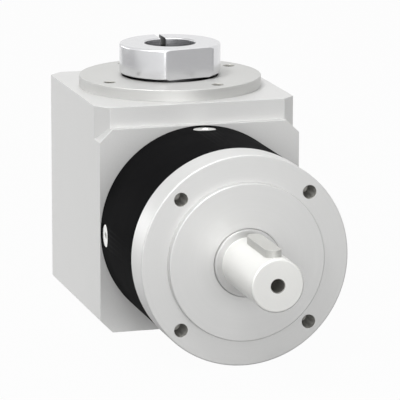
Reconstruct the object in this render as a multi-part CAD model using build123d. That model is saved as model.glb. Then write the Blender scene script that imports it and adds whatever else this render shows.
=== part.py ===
from build123d import *
import math
import os

# Right angle planetary gearbox, 80 mm size, in millimetres.
# The output axis is Y: the output shaft points along -Y and the flange's mounting face is y = 0.
# The input axis is parallel to Z and points up. The two axes cross in the angle housing.

# Half the width across the square housing and the round flange
half_width = 40.0

# How far a cutter runs past the face that it opens
cut_overrun = 1.0

# Output shaft
shaft_radius = 10.0
shaft_reach = 36.0
shaft_end_bevel = 0.8
shoulder_radius = 13.0
shoulder_proud = 1.0
shoulder_bevel = 0.6
centre_thread_radius = 2.5
centre_thread_depth = 16.0
thread_mouth_bevel = 0.3

# Parallel key in the output shaft
key_width = 6.0
key_height = 6.0
key_length = 28.0
key_proud = 2.5
key_end_gap = 3.0
key_edge_bevel = 0.3

# Output flange with its centring pilot
flange_radius = half_width
flange_thickness = 14.0
pilot_radius = 30.0
pilot_height = 3.0
rim_bevel = 0.5
bolt_inset = 5.0
bolt_thread_radius = 2.5
bolt_thread_depth = 11.0
bolt_count = 4
seal_cover = 1.6
shoulder_clearance = 0.12

# Shaft seals
output_seal_outer_radius = 18.5
input_seal_outer_radius = 19.0
seal_width = 7.0
seal_wall = 1.6
seal_edge_bevel = 0.5
seal_step = 1.4
seal_lip_clearance = 0.05
seal_lip_root = 0.9
seal_lip_back = 1.2
seal_lip_foot = 2.2
seal_lip_edge_share = 0.6
seal_lip_top_share = 0.7

# Shields of the sealed ball bearings
shield_sink = 0.4
shield_thickness = 0.5
shield_clearance = 0.15

# Output bearings, a pair of tapered roller bearings
output_bearing_bore_radius = 15.0
output_bearing_outer_radius = 27.5
output_bearing_width = 10.0
output_roller_section_share = 0.224
output_roller_length = 6.4
output_roller_count = 14
output_roller_tilt = 12.0
track_end = 0.6
cone_small_rib = 0.8
cone_large_rib = 1.4
spigot_wall = 4.5
circlip_thickness = 1.4
circlip_height = 3.0
circlip_groove_depth = 1.2
circlip_land = 1.6
circlip_gap = 8.0
circlip_lug_radius = 2.2

# Planet gear set: sun, three planets and the ring gear
sun_teeth = 12
planet_teeth = 18
planet_count = 3
pressure_angle = 20.0
addendum_share = 0.8
dedendum_share = 1.0
tooth_thinning = 0.1
planet_width = 11.9
gear_side_clearance = 0.05
planet_pin_radius = 4.0
needle_radius = 1.25
needle_count = 12
needle_end_clearance = 0.3
running_clearance = 0.05
washer_thickness = 0.5
washer_radius = 7.5

# Planet carrier
carrier_front_plate = 6.0
carrier_rear_plate = 4.5
carrier_front_gap = 0.5
carrier_boss_height = 3.5
pillar_radius = 4.8
pillar_inset = 0.2
carrier_to_ring_tip = 2.5
carrier_screw_radius = 2.0
carrier_screw_length = 12.0
carrier_bore_clearance = 0.7

# Ring gear body, sunk a little between the flange and the housing
ring_inset = 0.2
ring_wall = 8.55
ring_joint_wall = 5.3
ring_tooth_margin = 1.5
ring_screw_count = 4
ring_screw_radius = 2.5
ring_screw_head_radius = 4.5
ring_screw_head_height = 2.4
ring_screw_sink = 0.4
ring_screw_setback = 6.0
ring_screw_seat_clearance = 0.1
ring_edge_bevel = 0.3

# Screw heads and sockets
screw_head_bevel = 0.3
screw_tip_clearance = 1.0
socket_depth_share = 0.55
countersunk_socket_share = 0.75

# Angle housing
housing_corner = 5.0
housing_step = 3.0
housing_wall = 10.0
housing_spigot_wall = 6.0
carrier_to_wall = 3.0
bearing_wall_proud = 3.0
bearing_stop_height = 3.0
bearing_stop_thickness = 2.0

# Bevel gear pair, one to one
bevel_module = 2.0
bevel_teeth = 20
bevel_face_width = 9.0
bevel_addendum_share = 0.9
bevel_dedendum_share = 1.15
bevel_thinning = 0.1
bevel_rim = 1.2
bevel_hub_radius = 14.0
bevel_clearance = 1.5
bevel_overrun_share = 0.1

# Sun gear shaft and its two bearings
sun_seat_radius = 8.5
sun_neck_radius = 6.0
sun_tooth_overrun = 1.0
sun_front_bearing_outer_radius = 17.5
sun_front_bearing_width = 10.0
sun_collar_radius = 10.5
sun_collar_width = 5.0
sun_rear_seat_radius = 7.5
sun_rear_bearing_outer_radius = 14.0
sun_rear_bearing_width = 7.0
sun_end_overrun = 0.8
shaft_ring_height = 1.6

# Rear cover
cover_inset = 0.5
cover_thickness = 5.0
cover_seat = 8.0
cover_clearance = 1.0
cover_pocket_depth = 1.6
cover_screw_inset = 4.5
cover_screw_radius = 2.0
cover_screw_head_radius = 3.8
cover_screw_length = 12.0
cover_screw_count = 4

# Input flange
disc_inset = 4.0
disc_thickness = 4.5
disc_bevel = 0.4
disc_hole_inset = 6.0
disc_hole_radius = 2.1
disc_hole_mouth_bevel = 0.3
disc_hole_depth = 14.0
disc_hole_turn = 22.5
disc_hole_count = 4
input_seal_sink = 0.5
input_seal_stop = 1.0
input_bearing_outer_radius = 23.5
input_bearing_width = 9.0
input_spigot_wall = 3.0
input_spigot_land = 0.6

# Input shaft with its clamping hub
input_bore_radius = 10.0
input_bore_bevel = 0.5
input_neck_radius = 12.5
input_bore_floor = 1.0
pinion_seat_radius = 8.0
pinion_ring_thickness = 1.2
pinion_ring_land = 0.9
hub_radius = 20.0
hub_height = 12.0
hub_gap = 0.7
hub_top_round = 0.8
hub_bottom_bevel = 0.8
hub_flat_distance = 17.3
hub_flat_direction = -79.0
slit_width = 2.0
clamp_screw_radius = 2.5
clamp_screw_head_radius = 4.25
clamp_screw_head_height = 5.0
clamp_screw_offset = 14.6
clamp_screw_seat_offset = 5.5
clamp_screw_grip = 10.0
clamp_pocket_clearance = 0.35

# Gear shaft keys
gear_key_width = 4.0
gear_key_height = 4.0
gear_key_length = 9.0

# Radii worked out from the overall width
ring_radius = half_width - ring_inset
ring_joint_radius = ring_radius - ring_joint_wall
bolt_circle_radius = flange_radius - bolt_inset
cover_radius = half_width - housing_corner - cover_inset
cover_spigot_radius = cover_radius - cover_seat
cover_screw_circle_radius = cover_radius - cover_screw_inset
disc_radius = half_width - disc_inset
disc_hole_circle_radius = disc_radius - disc_hole_inset
cavity_radius = half_width - housing_wall

# Radii worked out for the planet gear set, whose module fills the ring
ring_teeth = sun_teeth + 2 * planet_teeth
gear_module = (ring_radius - ring_wall) / (ring_teeth / 2 + dedendum_share)
centre_distance = gear_module * (sun_teeth + planet_teeth) / 2
sun_pitch_radius = gear_module * sun_teeth / 2
planet_pitch_radius = gear_module * planet_teeth / 2
ring_pitch_radius = gear_module * ring_teeth / 2
addendum = gear_module * addendum_share
dedendum = gear_module * dedendum_share
ring_tip_radius = ring_pitch_radius - addendum
ring_root_radius = ring_pitch_radius + dedendum
sun_tip_radius = sun_pitch_radius + addendum
planet_tip_radius = planet_pitch_radius + addendum
planet_bore_radius = planet_pin_radius + 2 * needle_radius + 2 * running_clearance
carrier_radius = ring_tip_radius - carrier_to_ring_tip
pillar_circle_radius = carrier_radius - pillar_radius - pillar_inset
output_roller_radius = output_roller_section_share * (output_bearing_outer_radius - output_bearing_bore_radius)
spigot_radius = output_bearing_outer_radius + spigot_wall
input_spigot_radius = input_bearing_outer_radius + input_spigot_wall

# Stations along the output axis, y
y_pilot = -pilot_height
y_shoulder = y_pilot - shoulder_proud
y_shaft_end = y_shoulder - shaft_reach
y_seal = y_pilot + seal_cover
y_front_bearing = y_seal + seal_width + seal_step
y_rear_bearing = y_front_bearing + output_bearing_width
y_output_circlip = y_rear_bearing + output_bearing_width
y_spigot_end = y_output_circlip + circlip_thickness + circlip_land
y_carrier_front = y_spigot_end + carrier_front_gap
y_carrier_inner = y_carrier_front + carrier_front_plate
y_planet = y_carrier_inner + washer_thickness + gear_side_clearance
y_planet_end = y_planet + planet_width
y_rear_plate = y_planet_end + gear_side_clearance + washer_thickness
y_carrier_rear = y_rear_plate + carrier_rear_plate
y_wall_front = y_carrier_rear + carrier_to_wall
y_housing_front = y_wall_front + bearing_wall_proud
y_ring_teeth = y_planet - ring_tooth_margin
y_ring_teeth_end = y_planet_end + ring_tooth_margin
y_upper_front = y_housing_front + housing_step
input_axis_y = y_upper_front + half_width
y_housing_rear = input_axis_y + half_width
y_sun_bearing = y_wall_front + circlip_thickness + circlip_land
y_sun_bearing_end = y_sun_bearing + sun_front_bearing_width
y_cavity = y_sun_bearing_end + bearing_stop_thickness
y_collar_end = y_sun_bearing_end + sun_collar_width
y_cover_inner = y_housing_rear - cover_thickness
y_cover_front = input_axis_y + input_spigot_radius + cover_clearance
y_sun_rear_bearing_end = y_cover_front + sun_rear_bearing_width
y_sun_shaft_end = y_sun_rear_bearing_end + sun_end_overrun

# Radii and stations worked out for the bevel gears, as distances from the crossing point of the axes
bevel_pitch_radius = bevel_module * bevel_teeth / 2
bevel_cone_length = bevel_pitch_radius * math.sqrt(2)
bevel_small_share = (bevel_cone_length - bevel_face_width) / bevel_cone_length
bevel_addendum = bevel_module * bevel_addendum_share
bevel_dedendum = bevel_module * bevel_dedendum_share
bevel_heel = bevel_pitch_radius + (bevel_dedendum + bevel_rim) / math.sqrt(2)
bevel_toe = bevel_small_share * (bevel_pitch_radius + bevel_dedendum / math.sqrt(2))

# Stations along the input axis, z
z_input_spigot = bevel_heel + bevel_clearance
z_input_circlip = z_input_spigot + input_spigot_land
z_lower_bearing = z_input_circlip + circlip_thickness
z_upper_bearing = z_lower_bearing + input_bearing_width
z_input_stop = z_upper_bearing + input_bearing_width
z_input_seal = z_input_stop + input_seal_stop
z_disc_top = z_input_seal + seal_width + input_seal_sink
z_housing_top = z_disc_top - disc_thickness
z_hub_bottom = z_disc_top + hub_gap
z_hub_top = z_hub_bottom + hub_height
z_hub_middle = z_hub_bottom + hub_height / 2
z_input_bore_floor = z_lower_bearing + input_bore_floor
z_pinion_ring = bevel_toe - pinion_ring_thickness
z_input_shaft_end = z_pinion_ring - pinion_ring_land
y_ring_screw = y_housing_front - ring_screw_setback


def on_output_axis(shape):
    """Lay a shape that stands on Z along the output axis, its heights becoming y."""
    return Rot(-90, 0, 0) * shape


def on_input_axis(shape):
    """Move a shape that stands on Z onto the input axis."""
    return Pos(0, input_axis_y, 0) * shape


def turned(*outline):
    """Turn an outline of (radius, height) points about Z."""
    points = [(radius, 0, height) for radius, height in outline]
    return revolve(make_face(Polyline(*points, close=True)), Axis.Z)


def ring(inner, outer, low, high, bevel=0.0):
    """A plain ring, with its outer edges bevelled if a bevel is given."""
    if bevel <= 0:
        return turned((inner, low), (outer, low), (outer, high), (inner, high))
    return turned(
        (inner, low), (outer - bevel, low), (outer, low + bevel),
        (outer, high - bevel), (outer - bevel, high), (inner, high),
    )


def rod(radius, low, high):
    """A round bar from one height to another."""
    return Pos(0, 0, low) * Cylinder(radius, high - low, align=(Align.CENTER, Align.CENTER, Align.MIN))


def around(count, radius, shape, start=0.0):
    """Copies of a shape spread evenly on a circle about Z."""
    return [Rot(0, 0, start + 360 * i / count) * Pos(radius, 0, 0) * shape for i in range(count)]


def involute(angle):
    return math.tan(angle) - angle


def tooth_flank(base_radius, pitch_radius, half_angle, low, high):
    """Half the tooth's angle at the foot, middle and tip of an involute flank."""
    start = max(low, base_radius)
    at_pitch = involute(math.acos(base_radius / pitch_radius))
    flank = []
    for radius in (start, (start + high) / 2, high):
        flank.append((radius, half_angle + at_pitch - involute(math.acos(base_radius / radius))))
    return flank


def polar(radius, angle, height=0.0):
    return (radius * math.cos(angle), radius * math.sin(angle), height)


def toothed_face(teeth, flank, root_radius, height=0.0):
    """A face outlined by teeth, each flank an arc through three points of its involute."""
    edges = []
    pitch_angle = 2 * math.pi / teeth
    for i in range(teeth):
        middle = i * pitch_angle
        rising = [polar(radius, middle - angle, height) for radius, angle in flank]
        falling = [polar(radius, middle + angle, height) for radius, angle in reversed(flank)]
        next_start = polar(flank[0][0], middle + pitch_angle - flank[0][1], height)
        edges += [ThreePointArc(*rising), Line(rising[-1], falling[0]), ThreePointArc(*falling)]
        if root_radius < flank[0][0]:
            foot = polar(root_radius, middle + flank[0][1], height)
            next_foot = polar(root_radius, middle + pitch_angle - flank[0][1], height)
            edges += [Line(falling[-1], foot), Line(foot, next_foot), Line(next_foot, next_start)]
        else:
            edges.append(Line(falling[-1], next_start))
    return make_face(edges)


def spur_face(teeth, tip_radius, root_radius, thinning):
    """The outline of a spur gear. A negative thinning gives the spaces of a ring gear."""
    pitch_radius = gear_module * teeth / 2
    base_radius = pitch_radius * math.cos(math.radians(pressure_angle))
    half_angle = math.pi / (2 * teeth) - thinning / pitch_radius
    flank = tooth_flank(base_radius, pitch_radius, half_angle, root_radius, tip_radius)
    return toothed_face(teeth, flank, root_radius)


def bevel_section(share):
    """The outline of a straight bevel gear on the plane at this share of the pitch radius.

    The flanks are those of a spur gear on the back cone, carried to the plane along rays
    through the crossing point of the axes.
    """
    back_radius = bevel_pitch_radius * math.sqrt(2)
    base_radius = back_radius * math.cos(math.radians(pressure_angle))
    half_angle = math.pi / (2 * bevel_teeth * math.sqrt(2)) - bevel_thinning / back_radius
    low = back_radius - bevel_dedendum
    virtual = tooth_flank(base_radius, back_radius, half_angle, low, back_radius + bevel_addendum)
    flank = []
    for radius, angle in virtual:
        height = 2 * bevel_pitch_radius - radius / math.sqrt(2)
        flank.append((share * bevel_pitch_radius * radius / math.sqrt(2) / height, angle * math.sqrt(2)))
    low_height = 2 * bevel_pitch_radius - low / math.sqrt(2)
    root_radius = share * bevel_pitch_radius * low / math.sqrt(2) / low_height
    return toothed_face(bevel_teeth, flank, root_radius, share * bevel_pitch_radius)


def bevel_gear(bore_radius, hub_end):
    """A bevel gear whose cone apex is the origin, standing on +Z, with a hub up to hub_end."""
    def on_back_cone(share, offset):
        reach = offset / math.sqrt(2)
        return (share * (bevel_pitch_radius + reach), share * (bevel_pitch_radius - reach))

    tip_out = on_back_cone(1.0, bevel_addendum)
    heel = on_back_cone(1.0, -bevel_dedendum - bevel_rim)
    tip_in = on_back_cone(bevel_small_share, bevel_addendum)
    root_in = on_back_cone(bevel_small_share, -bevel_dedendum)
    low_share = (1 - bevel_overrun_share) * tip_in[1] / bevel_pitch_radius
    high_share = (1 + bevel_overrun_share) * heel[1] / bevel_pitch_radius
    teeth = loft([bevel_section(low_share), bevel_section(high_share)], ruled=True)
    blank = turned(
        (bore_radius, root_in[1]), root_in, tip_in, tip_out, heel,
        (bevel_hub_radius, heel[1]), (bore_radius, heel[1]),
    )
    hub = ring(bore_radius, bevel_hub_radius, heel[1] - bevel_rim, hub_end)
    return (teeth & blank) + hub


def socket_screw(shank_radius, shank_length, head_radius, head_height):
    """A socket head screw standing on its head's seat at z = 0, head up, shank down."""
    head = turned(
        (0, 0), (head_radius, 0), (head_radius, head_height - screw_head_bevel),
        (head_radius - screw_head_bevel, head_height), (0, head_height),
    )
    socket = extrude(RegularPolygon(shank_radius, 6), -head_height * socket_depth_share)
    return head + rod(shank_radius, -shank_length, 0) - Pos(0, 0, head_height) * socket


def countersunk_screw(shank_radius, length, head_radius):
    """A countersunk screw with its flat top at z = 0, pointing down."""
    cone = head_radius - shank_radius
    body = turned((0, 0), (head_radius, 0), (shank_radius, -cone), (shank_radius, -length), (0, -length))
    return body - extrude(RegularPolygon(shank_radius * countersunk_socket_share, 6), -cone)


def parallel_key(width, height, length, edge=0.0):
    """A key with round ends, lying along X with its bottom at z = 0."""
    key = extrude(SlotOverall(length, width), height)
    return chamfer(key.faces().sort_by(Axis.Z)[-1].edges(), edge) if edge > 0 else key


def ball_bearing(bore_radius, outer_radius, width):
    """Outer ring with its two shields, and inner ring, of a sealed ball bearing standing on z = 0."""
    third = (outer_radius - bore_radius) / 3
    outer_land, inner_land = outer_radius - third, bore_radius + third
    lip = inner_land + shield_clearance
    inside = shield_sink + shield_thickness
    outer = turned(
        (outer_radius, 0), (outer_radius, width), (outer_land, width), (outer_land, width - shield_sink),
        (lip, width - shield_sink), (lip, width - inside), (outer_land, width - inside),
        (outer_land, inside), (lip, inside), (lip, shield_sink), (outer_land, shield_sink), (outer_land, 0),
    )
    return outer, ring(bore_radius, inner_land, 0, width)


def tapered_bearing():
    """Cup, cone and caged rollers of a tapered roller bearing, wide end of the rollers at the top."""
    pitch_radius = (output_bearing_bore_radius + output_bearing_outer_radius) / 2
    middle = output_bearing_width / 2
    half = output_roller_length / 2
    tilt = math.radians(output_roller_tilt)
    slope = math.tan(tilt)
    reach = (output_roller_radius + running_clearance) / math.cos(tilt)

    def track(side, height):
        return pitch_radius + side * reach + (height - middle) * slope

    cup = turned(
        (track(1, 0), 0), (output_bearing_outer_radius, 0),
        (output_bearing_outer_radius, output_bearing_width), (track(1, output_bearing_width),
        output_bearing_width),
    )
    low, high = middle - half - track_end, middle + half + track_end
    small_rib = track(-1, low) + cone_small_rib
    large_rib = track(-1, high) + cone_large_rib
    cone = turned(
        (output_bearing_bore_radius, 0), (small_rib, 0), (small_rib, low),
        (track(-1, low), low), (track(-1, high), high), (large_rib, high),
        (large_rib, output_bearing_width), (output_bearing_bore_radius, output_bearing_width),
    )
    roller = Rot(0, output_roller_tilt, 0) * rod(output_roller_radius, -half, half)
    rollers = around(output_roller_count, pitch_radius, Pos(0, 0, middle) * roller)
    return cup, cone, rollers


def internal_circlip(bore_radius, low):
    """A retaining ring in a bore, with a gap and a lug at each of its ends."""
    outer = bore_radius + circlip_groove_depth
    inner = outer - circlip_height
    band = ring(inner, outer, low, low + circlip_thickness)
    gap = Pos(outer, 0, low) * Box(4 * circlip_height, circlip_gap, 4 * circlip_thickness)
    lug = rod(circlip_lug_radius, low, low + circlip_thickness)
    turn = math.degrees((circlip_gap / 2 + circlip_lug_radius) / inner)
    lugs = [Rot(0, 0, side * turn) * Pos(inner, 0, 0) * lug for side in (-1, 1)]
    return band - gap + lugs


def shaft_ring(seat_radius, low, thickness):
    """A retaining ring round a shaft, with its gap."""
    band = ring(seat_radius - shaft_ring_height / 2, seat_radius + shaft_ring_height / 2, low, low + thickness)
    return band - Pos(seat_radius, 0, low) * Box(4 * shaft_ring_height, seat_radius * 0.6, 4 * thickness)


def output_shaft():
    """The output shaft in one piece with the front half of the planet carrier."""
    blank = turned(
        (0, y_shaft_end), (shaft_radius - shaft_end_bevel, y_shaft_end),
        (shaft_radius, y_shaft_end + shaft_end_bevel), (shaft_radius, y_shoulder),
        (shoulder_radius - shoulder_bevel, y_shoulder), (shoulder_radius, y_shoulder + shoulder_bevel),
        (shoulder_radius, y_front_bearing), (output_bearing_bore_radius, y_front_bearing),
        (output_bearing_bore_radius, y_output_circlip),
        (output_bearing_bore_radius + carrier_boss_height, y_output_circlip),
        (output_bearing_bore_radius + carrier_boss_height, y_carrier_front),
        (carrier_radius, y_carrier_front), (carrier_radius, y_carrier_inner), (0, y_carrier_inner),
    )
    pillar = rod(pillar_radius, y_carrier_inner, y_rear_plate)
    pillars = around(planet_count, pillar_circle_radius, pillar, 90 + 180 / planet_count)
    pin_bore = rod(planet_pin_radius, y_carrier_front, y_carrier_inner)
    pin_bores = around(planet_count, centre_distance, pin_bore, 90)
    thread = rod(carrier_screw_radius, y_carrier_rear - carrier_screw_length, y_rear_plate)
    threads = around(planet_count, pillar_circle_radius, thread, 90 + 180 / planet_count)
    centre = turned(
        (0, y_shaft_end), (centre_thread_radius + thread_mouth_bevel, y_shaft_end),
        (centre_thread_radius, y_shaft_end + thread_mouth_bevel),
        (centre_thread_radius, y_shaft_end + centre_thread_depth),
        (0, y_shaft_end + centre_thread_depth + centre_thread_radius / 2),
    )
    shaft = on_output_axis(blank + pillars - pin_bores - threads - centre)
    return shaft - shaft_key_seat() * parallel_key(key_width, key_height, key_length)


def shaft_key_seat():
    """Where the key's floor lies in the shaft, with the key's length along the shaft."""
    middle = y_shaft_end + key_end_gap + key_length / 2
    return Pos(0, middle, shaft_radius + key_proud - key_height) * Rot(0, 0, 90)


def planet_pins():
    pin = rod(planet_pin_radius, y_carrier_front, y_carrier_rear)
    return on_output_axis(Compound(around(planet_count, centre_distance, pin, 90)))


def planet_washers():
    washers = []
    for low in (y_carrier_inner, y_rear_plate - washer_thickness):
        washer = ring(planet_pin_radius, washer_radius, low, low + washer_thickness)
        washers += around(planet_count, centre_distance, washer, 90)
    return on_output_axis(Compound(washers))


def carrier_plate():
    """The rear plate of the carrier, bored for the sun gear, the pins and its screws."""
    bore = sun_tip_radius + carrier_bore_clearance
    plate = ring(bore, carrier_radius, y_rear_plate, y_carrier_rear)
    pin_bores = around(planet_count, centre_distance, rod(planet_pin_radius, y_rear_plate, y_carrier_rear), 90)
    screw_hole = rod(carrier_screw_radius, y_rear_plate, y_carrier_rear)
    screw_holes = around(planet_count, pillar_circle_radius, screw_hole, 90 + 180 / planet_count)
    y_sink = y_carrier_rear - carrier_screw_radius
    sink = turned(
        (0, y_carrier_rear), (2 * carrier_screw_radius, y_carrier_rear),
        (carrier_screw_radius, y_sink), (0, y_sink),
    )
    sinks = around(planet_count, pillar_circle_radius, sink, 90 + 180 / planet_count)
    return on_output_axis(plate - pin_bores - screw_holes - sinks)


def carrier_screws():
    screw = Pos(0, 0, y_carrier_rear) * countersunk_screw(
        carrier_screw_radius, carrier_screw_length, 2 * carrier_screw_radius)
    return on_output_axis(Compound(around(planet_count, pillar_circle_radius, screw, 90 + 180 / planet_count)))


def planet_gear(index):
    """One planet gear, turned so that a tooth space faces the sun gear and another the ring gear."""
    face = spur_face(planet_teeth, planet_tip_radius, planet_pitch_radius - dedendum, tooth_thinning)
    gear = extrude(face, planet_width) - rod(planet_bore_radius, 0, planet_width)
    angle = 90 + 360 * index / planet_count
    place = Rot(0, 0, angle) * Pos(centre_distance, 0, y_planet) * Rot(0, 0, 180 / planet_teeth)
    return on_output_axis(place * gear)


def planet_needles(index):
    """The full set of needle rollers between a planet gear and its pin."""
    circle = planet_pin_radius + needle_radius + running_clearance
    needles = around(
        needle_count, circle, rod(needle_radius, needle_end_clearance, planet_width - needle_end_clearance))
    place = Rot(0, 0, 90 + 360 * index / planet_count) * Pos(centre_distance, 0, y_planet)
    return on_output_axis(place * Compound(needles))


def ring_gear():
    """The black ring: internal teeth, a bore for each neighbour's spigot and the radial screw seats."""
    body = turned(
        (spigot_radius, flange_thickness), (ring_radius - ring_edge_bevel, flange_thickness),
        (ring_radius, flange_thickness + ring_edge_bevel), (ring_radius, y_housing_front - ring_edge_bevel),
        (ring_radius - ring_edge_bevel, y_housing_front), (ring_joint_radius, y_housing_front),
        (ring_joint_radius, y_ring_teeth_end), (ring_tip_radius, y_ring_teeth_end),
        (ring_tip_radius, y_ring_teeth), (spigot_radius, y_ring_teeth),
    )
    spaces = spur_face(ring_teeth, ring_root_radius, ring_tip_radius, -tooth_thinning)
    cutter = extrude(Pos(0, 0, y_ring_teeth) * spaces, y_ring_teeth_end - y_ring_teeth)
    body = body - Rot(0, 0, 180 / ring_teeth) * cutter
    seat_radius = ring_radius - ring_screw_sink - ring_screw_head_height
    seat_bore = rod(ring_screw_head_radius + ring_screw_seat_clearance, seat_radius, ring_radius + cut_overrun)
    shank_bore = rod(ring_screw_radius, ring_joint_radius - cut_overrun, ring_radius)
    hole = Pos(0, 0, y_ring_screw) * Rot(0, 90, 0) * (seat_bore + shank_bore)
    return on_output_axis(body - around(ring_screw_count, 0, hole))


def ring_screws():
    """The radial screws that hold the ring gear on the housing's spigot."""
    seat_radius = ring_radius - ring_screw_sink - ring_screw_head_height
    length = seat_radius - ring_joint_radius + housing_spigot_wall - screw_tip_clearance
    screw = socket_screw(ring_screw_radius, length, ring_screw_head_radius, ring_screw_head_height)
    placed = Pos(0, 0, y_ring_screw) * Rot(0, 90, 0) * Pos(0, 0, seat_radius) * screw
    return on_output_axis(Compound(around(ring_screw_count, 0, placed)))


def output_flange():
    """Mounting flange and pilot, with a spigot that carries both output bearings."""
    blank = turned(
        (shoulder_radius + shoulder_clearance, y_pilot), (pilot_radius - rim_bevel, y_pilot),
        (pilot_radius, y_pilot + rim_bevel), (pilot_radius, 0), (flange_radius - rim_bevel, 0),
        (flange_radius, rim_bevel), (flange_radius, flange_thickness), (spigot_radius, flange_thickness),
        (spigot_radius, y_spigot_end), (output_bearing_outer_radius, y_spigot_end),
        (output_bearing_outer_radius, y_front_bearing), (output_seal_outer_radius, y_front_bearing),
        (output_seal_outer_radius, y_seal), (shoulder_radius + shoulder_clearance, y_seal),
    )
    groove = rod(output_bearing_outer_radius + circlip_groove_depth, y_output_circlip,
                 y_output_circlip + circlip_thickness)
    hole = turned(
        (0, 0), (bolt_thread_radius + thread_mouth_bevel, 0), (bolt_thread_radius, thread_mouth_bevel),
        (bolt_thread_radius, bolt_thread_depth), (0, bolt_thread_depth + bolt_thread_radius / 2),
    )
    return on_output_axis(blank - groove - around(bolt_count, bolt_circle_radius, hole, 45))


def shaft_seal(shaft, outer):
    """A radial shaft seal standing on z = 0: a channel section with a lip at the shaft."""
    lip = shaft + seal_lip_clearance
    return turned(
        (lip + seal_lip_root, 0), (outer, 0), (outer, seal_width - seal_edge_bevel),
        (outer - seal_edge_bevel, seal_width), (outer - seal_wall, seal_width), (outer - seal_wall, seal_wall),
        (lip + seal_lip_foot, seal_wall), (lip + seal_lip_back, seal_width * seal_lip_top_share),
        (lip, seal_width * seal_lip_edge_share),
    )


def angle_housing():
    """The angle housing: a prism round each axis, a bore through each face and the bearing wall."""
    half, cut = half_width, housing_corner
    octagon = [(half, half - cut), (half - cut, half), (cut - half, half), (-half, half - cut),
               (-half, cut - half), (cut - half, -half), (half - cut, -half), (half, cut - half)]
    section = make_face(Polyline(*[(x, 0, z) for x, z in octagon], close=True))
    lying = extrude(section, y_housing_rear - y_housing_front, dir=(0, 1, 0))
    lying = Pos(0, y_housing_front, 0) * lying
    plan = make_face(Polyline(
        (-half, y_housing_front), (half, y_housing_front), (half, y_housing_rear - cut),
        (half - cut, y_housing_rear), (cut - half, y_housing_rear), (-half, y_housing_rear - cut), close=True))
    lying = lying & Pos(0, 0, -half) * extrude(plan, 2 * half)
    upright_plan = make_face(Polyline(*[(x, input_axis_y + y) for x, y in octagon], close=True))
    body = lying + extrude(upright_plan, z_housing_top)

    body += on_output_axis(rod(ring_joint_radius, y_ring_teeth_end, y_housing_front + cut_overrun))
    bearing_stop = sun_front_bearing_outer_radius - bearing_stop_height
    output_bore = turned(
        (0, y_ring_teeth_end), (ring_joint_radius - housing_spigot_wall, y_ring_teeth_end),
        (ring_joint_radius - housing_spigot_wall, y_wall_front),
        (sun_front_bearing_outer_radius, y_wall_front),
        (sun_front_bearing_outer_radius, y_sun_bearing_end), (bearing_stop, y_sun_bearing_end),
        (bearing_stop, y_cavity), (cavity_radius, y_cavity), (cavity_radius, y_cover_front),
        (cover_spigot_radius, y_cover_front), (cover_spigot_radius, y_cover_inner),
        (cover_radius, y_cover_inner), (cover_radius, y_housing_rear), (0, y_housing_rear),
    )
    groove = rod(sun_front_bearing_outer_radius + circlip_groove_depth,
                 y_sun_bearing - circlip_thickness, y_sun_bearing)
    screw_hole = rod(cover_screw_radius, y_housing_rear - cover_screw_length, y_housing_rear)
    screw_holes = around(cover_screw_count, cover_screw_circle_radius, screw_hole, 45)
    ring_thread = Pos(0, 0, y_ring_screw) * Rot(0, 90, 0) * rod(
        ring_screw_radius, ring_joint_radius - housing_spigot_wall - cut_overrun, ring_radius)
    for cutter in [output_bore + groove] + screw_holes + around(ring_screw_count, 0, ring_thread):
        body -= on_output_axis(cutter)

    input_bore = rod(input_spigot_radius, 0, z_housing_top)
    hole = rod(disc_hole_radius, z_disc_top - disc_hole_depth, z_housing_top)
    for cutter in [input_bore] + around(disc_hole_count, disc_hole_circle_radius, hole, disc_hole_turn):
        body -= on_input_axis(cutter)
    return body


def rear_cover():
    """The flush rear cover, with a spigot that carries the sun shaft's rear bearing."""
    blank = turned(
        (0, y_sun_rear_bearing_end + cover_pocket_depth),
        (sun_rear_bearing_outer_radius - bearing_stop_height, y_sun_rear_bearing_end + cover_pocket_depth),
        (sun_rear_bearing_outer_radius - bearing_stop_height, y_sun_rear_bearing_end),
        (sun_rear_bearing_outer_radius, y_sun_rear_bearing_end),
        (sun_rear_bearing_outer_radius, y_cover_front), (cover_spigot_radius, y_cover_front),
        (cover_spigot_radius, y_cover_inner), (cover_radius, y_cover_inner),
        (cover_radius, y_housing_rear - rim_bevel), (cover_radius - rim_bevel, y_housing_rear),
        (0, y_housing_rear),
    )
    cone = cover_screw_head_radius - cover_screw_radius
    hole = turned(
        (0, y_cover_inner), (cover_screw_radius, y_cover_inner), (cover_screw_radius, y_housing_rear - cone),
        (cover_screw_head_radius, y_housing_rear), (0, y_housing_rear),
    )
    holes = around(cover_screw_count, cover_screw_circle_radius, hole, 45)
    return on_output_axis(blank - holes)


def cover_screws():
    screw = Pos(0, 0, y_housing_rear) * countersunk_screw(
        cover_screw_radius, cover_screw_length, cover_screw_head_radius)
    return on_output_axis(Compound(around(cover_screw_count, cover_screw_circle_radius, screw, 45)))


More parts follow.
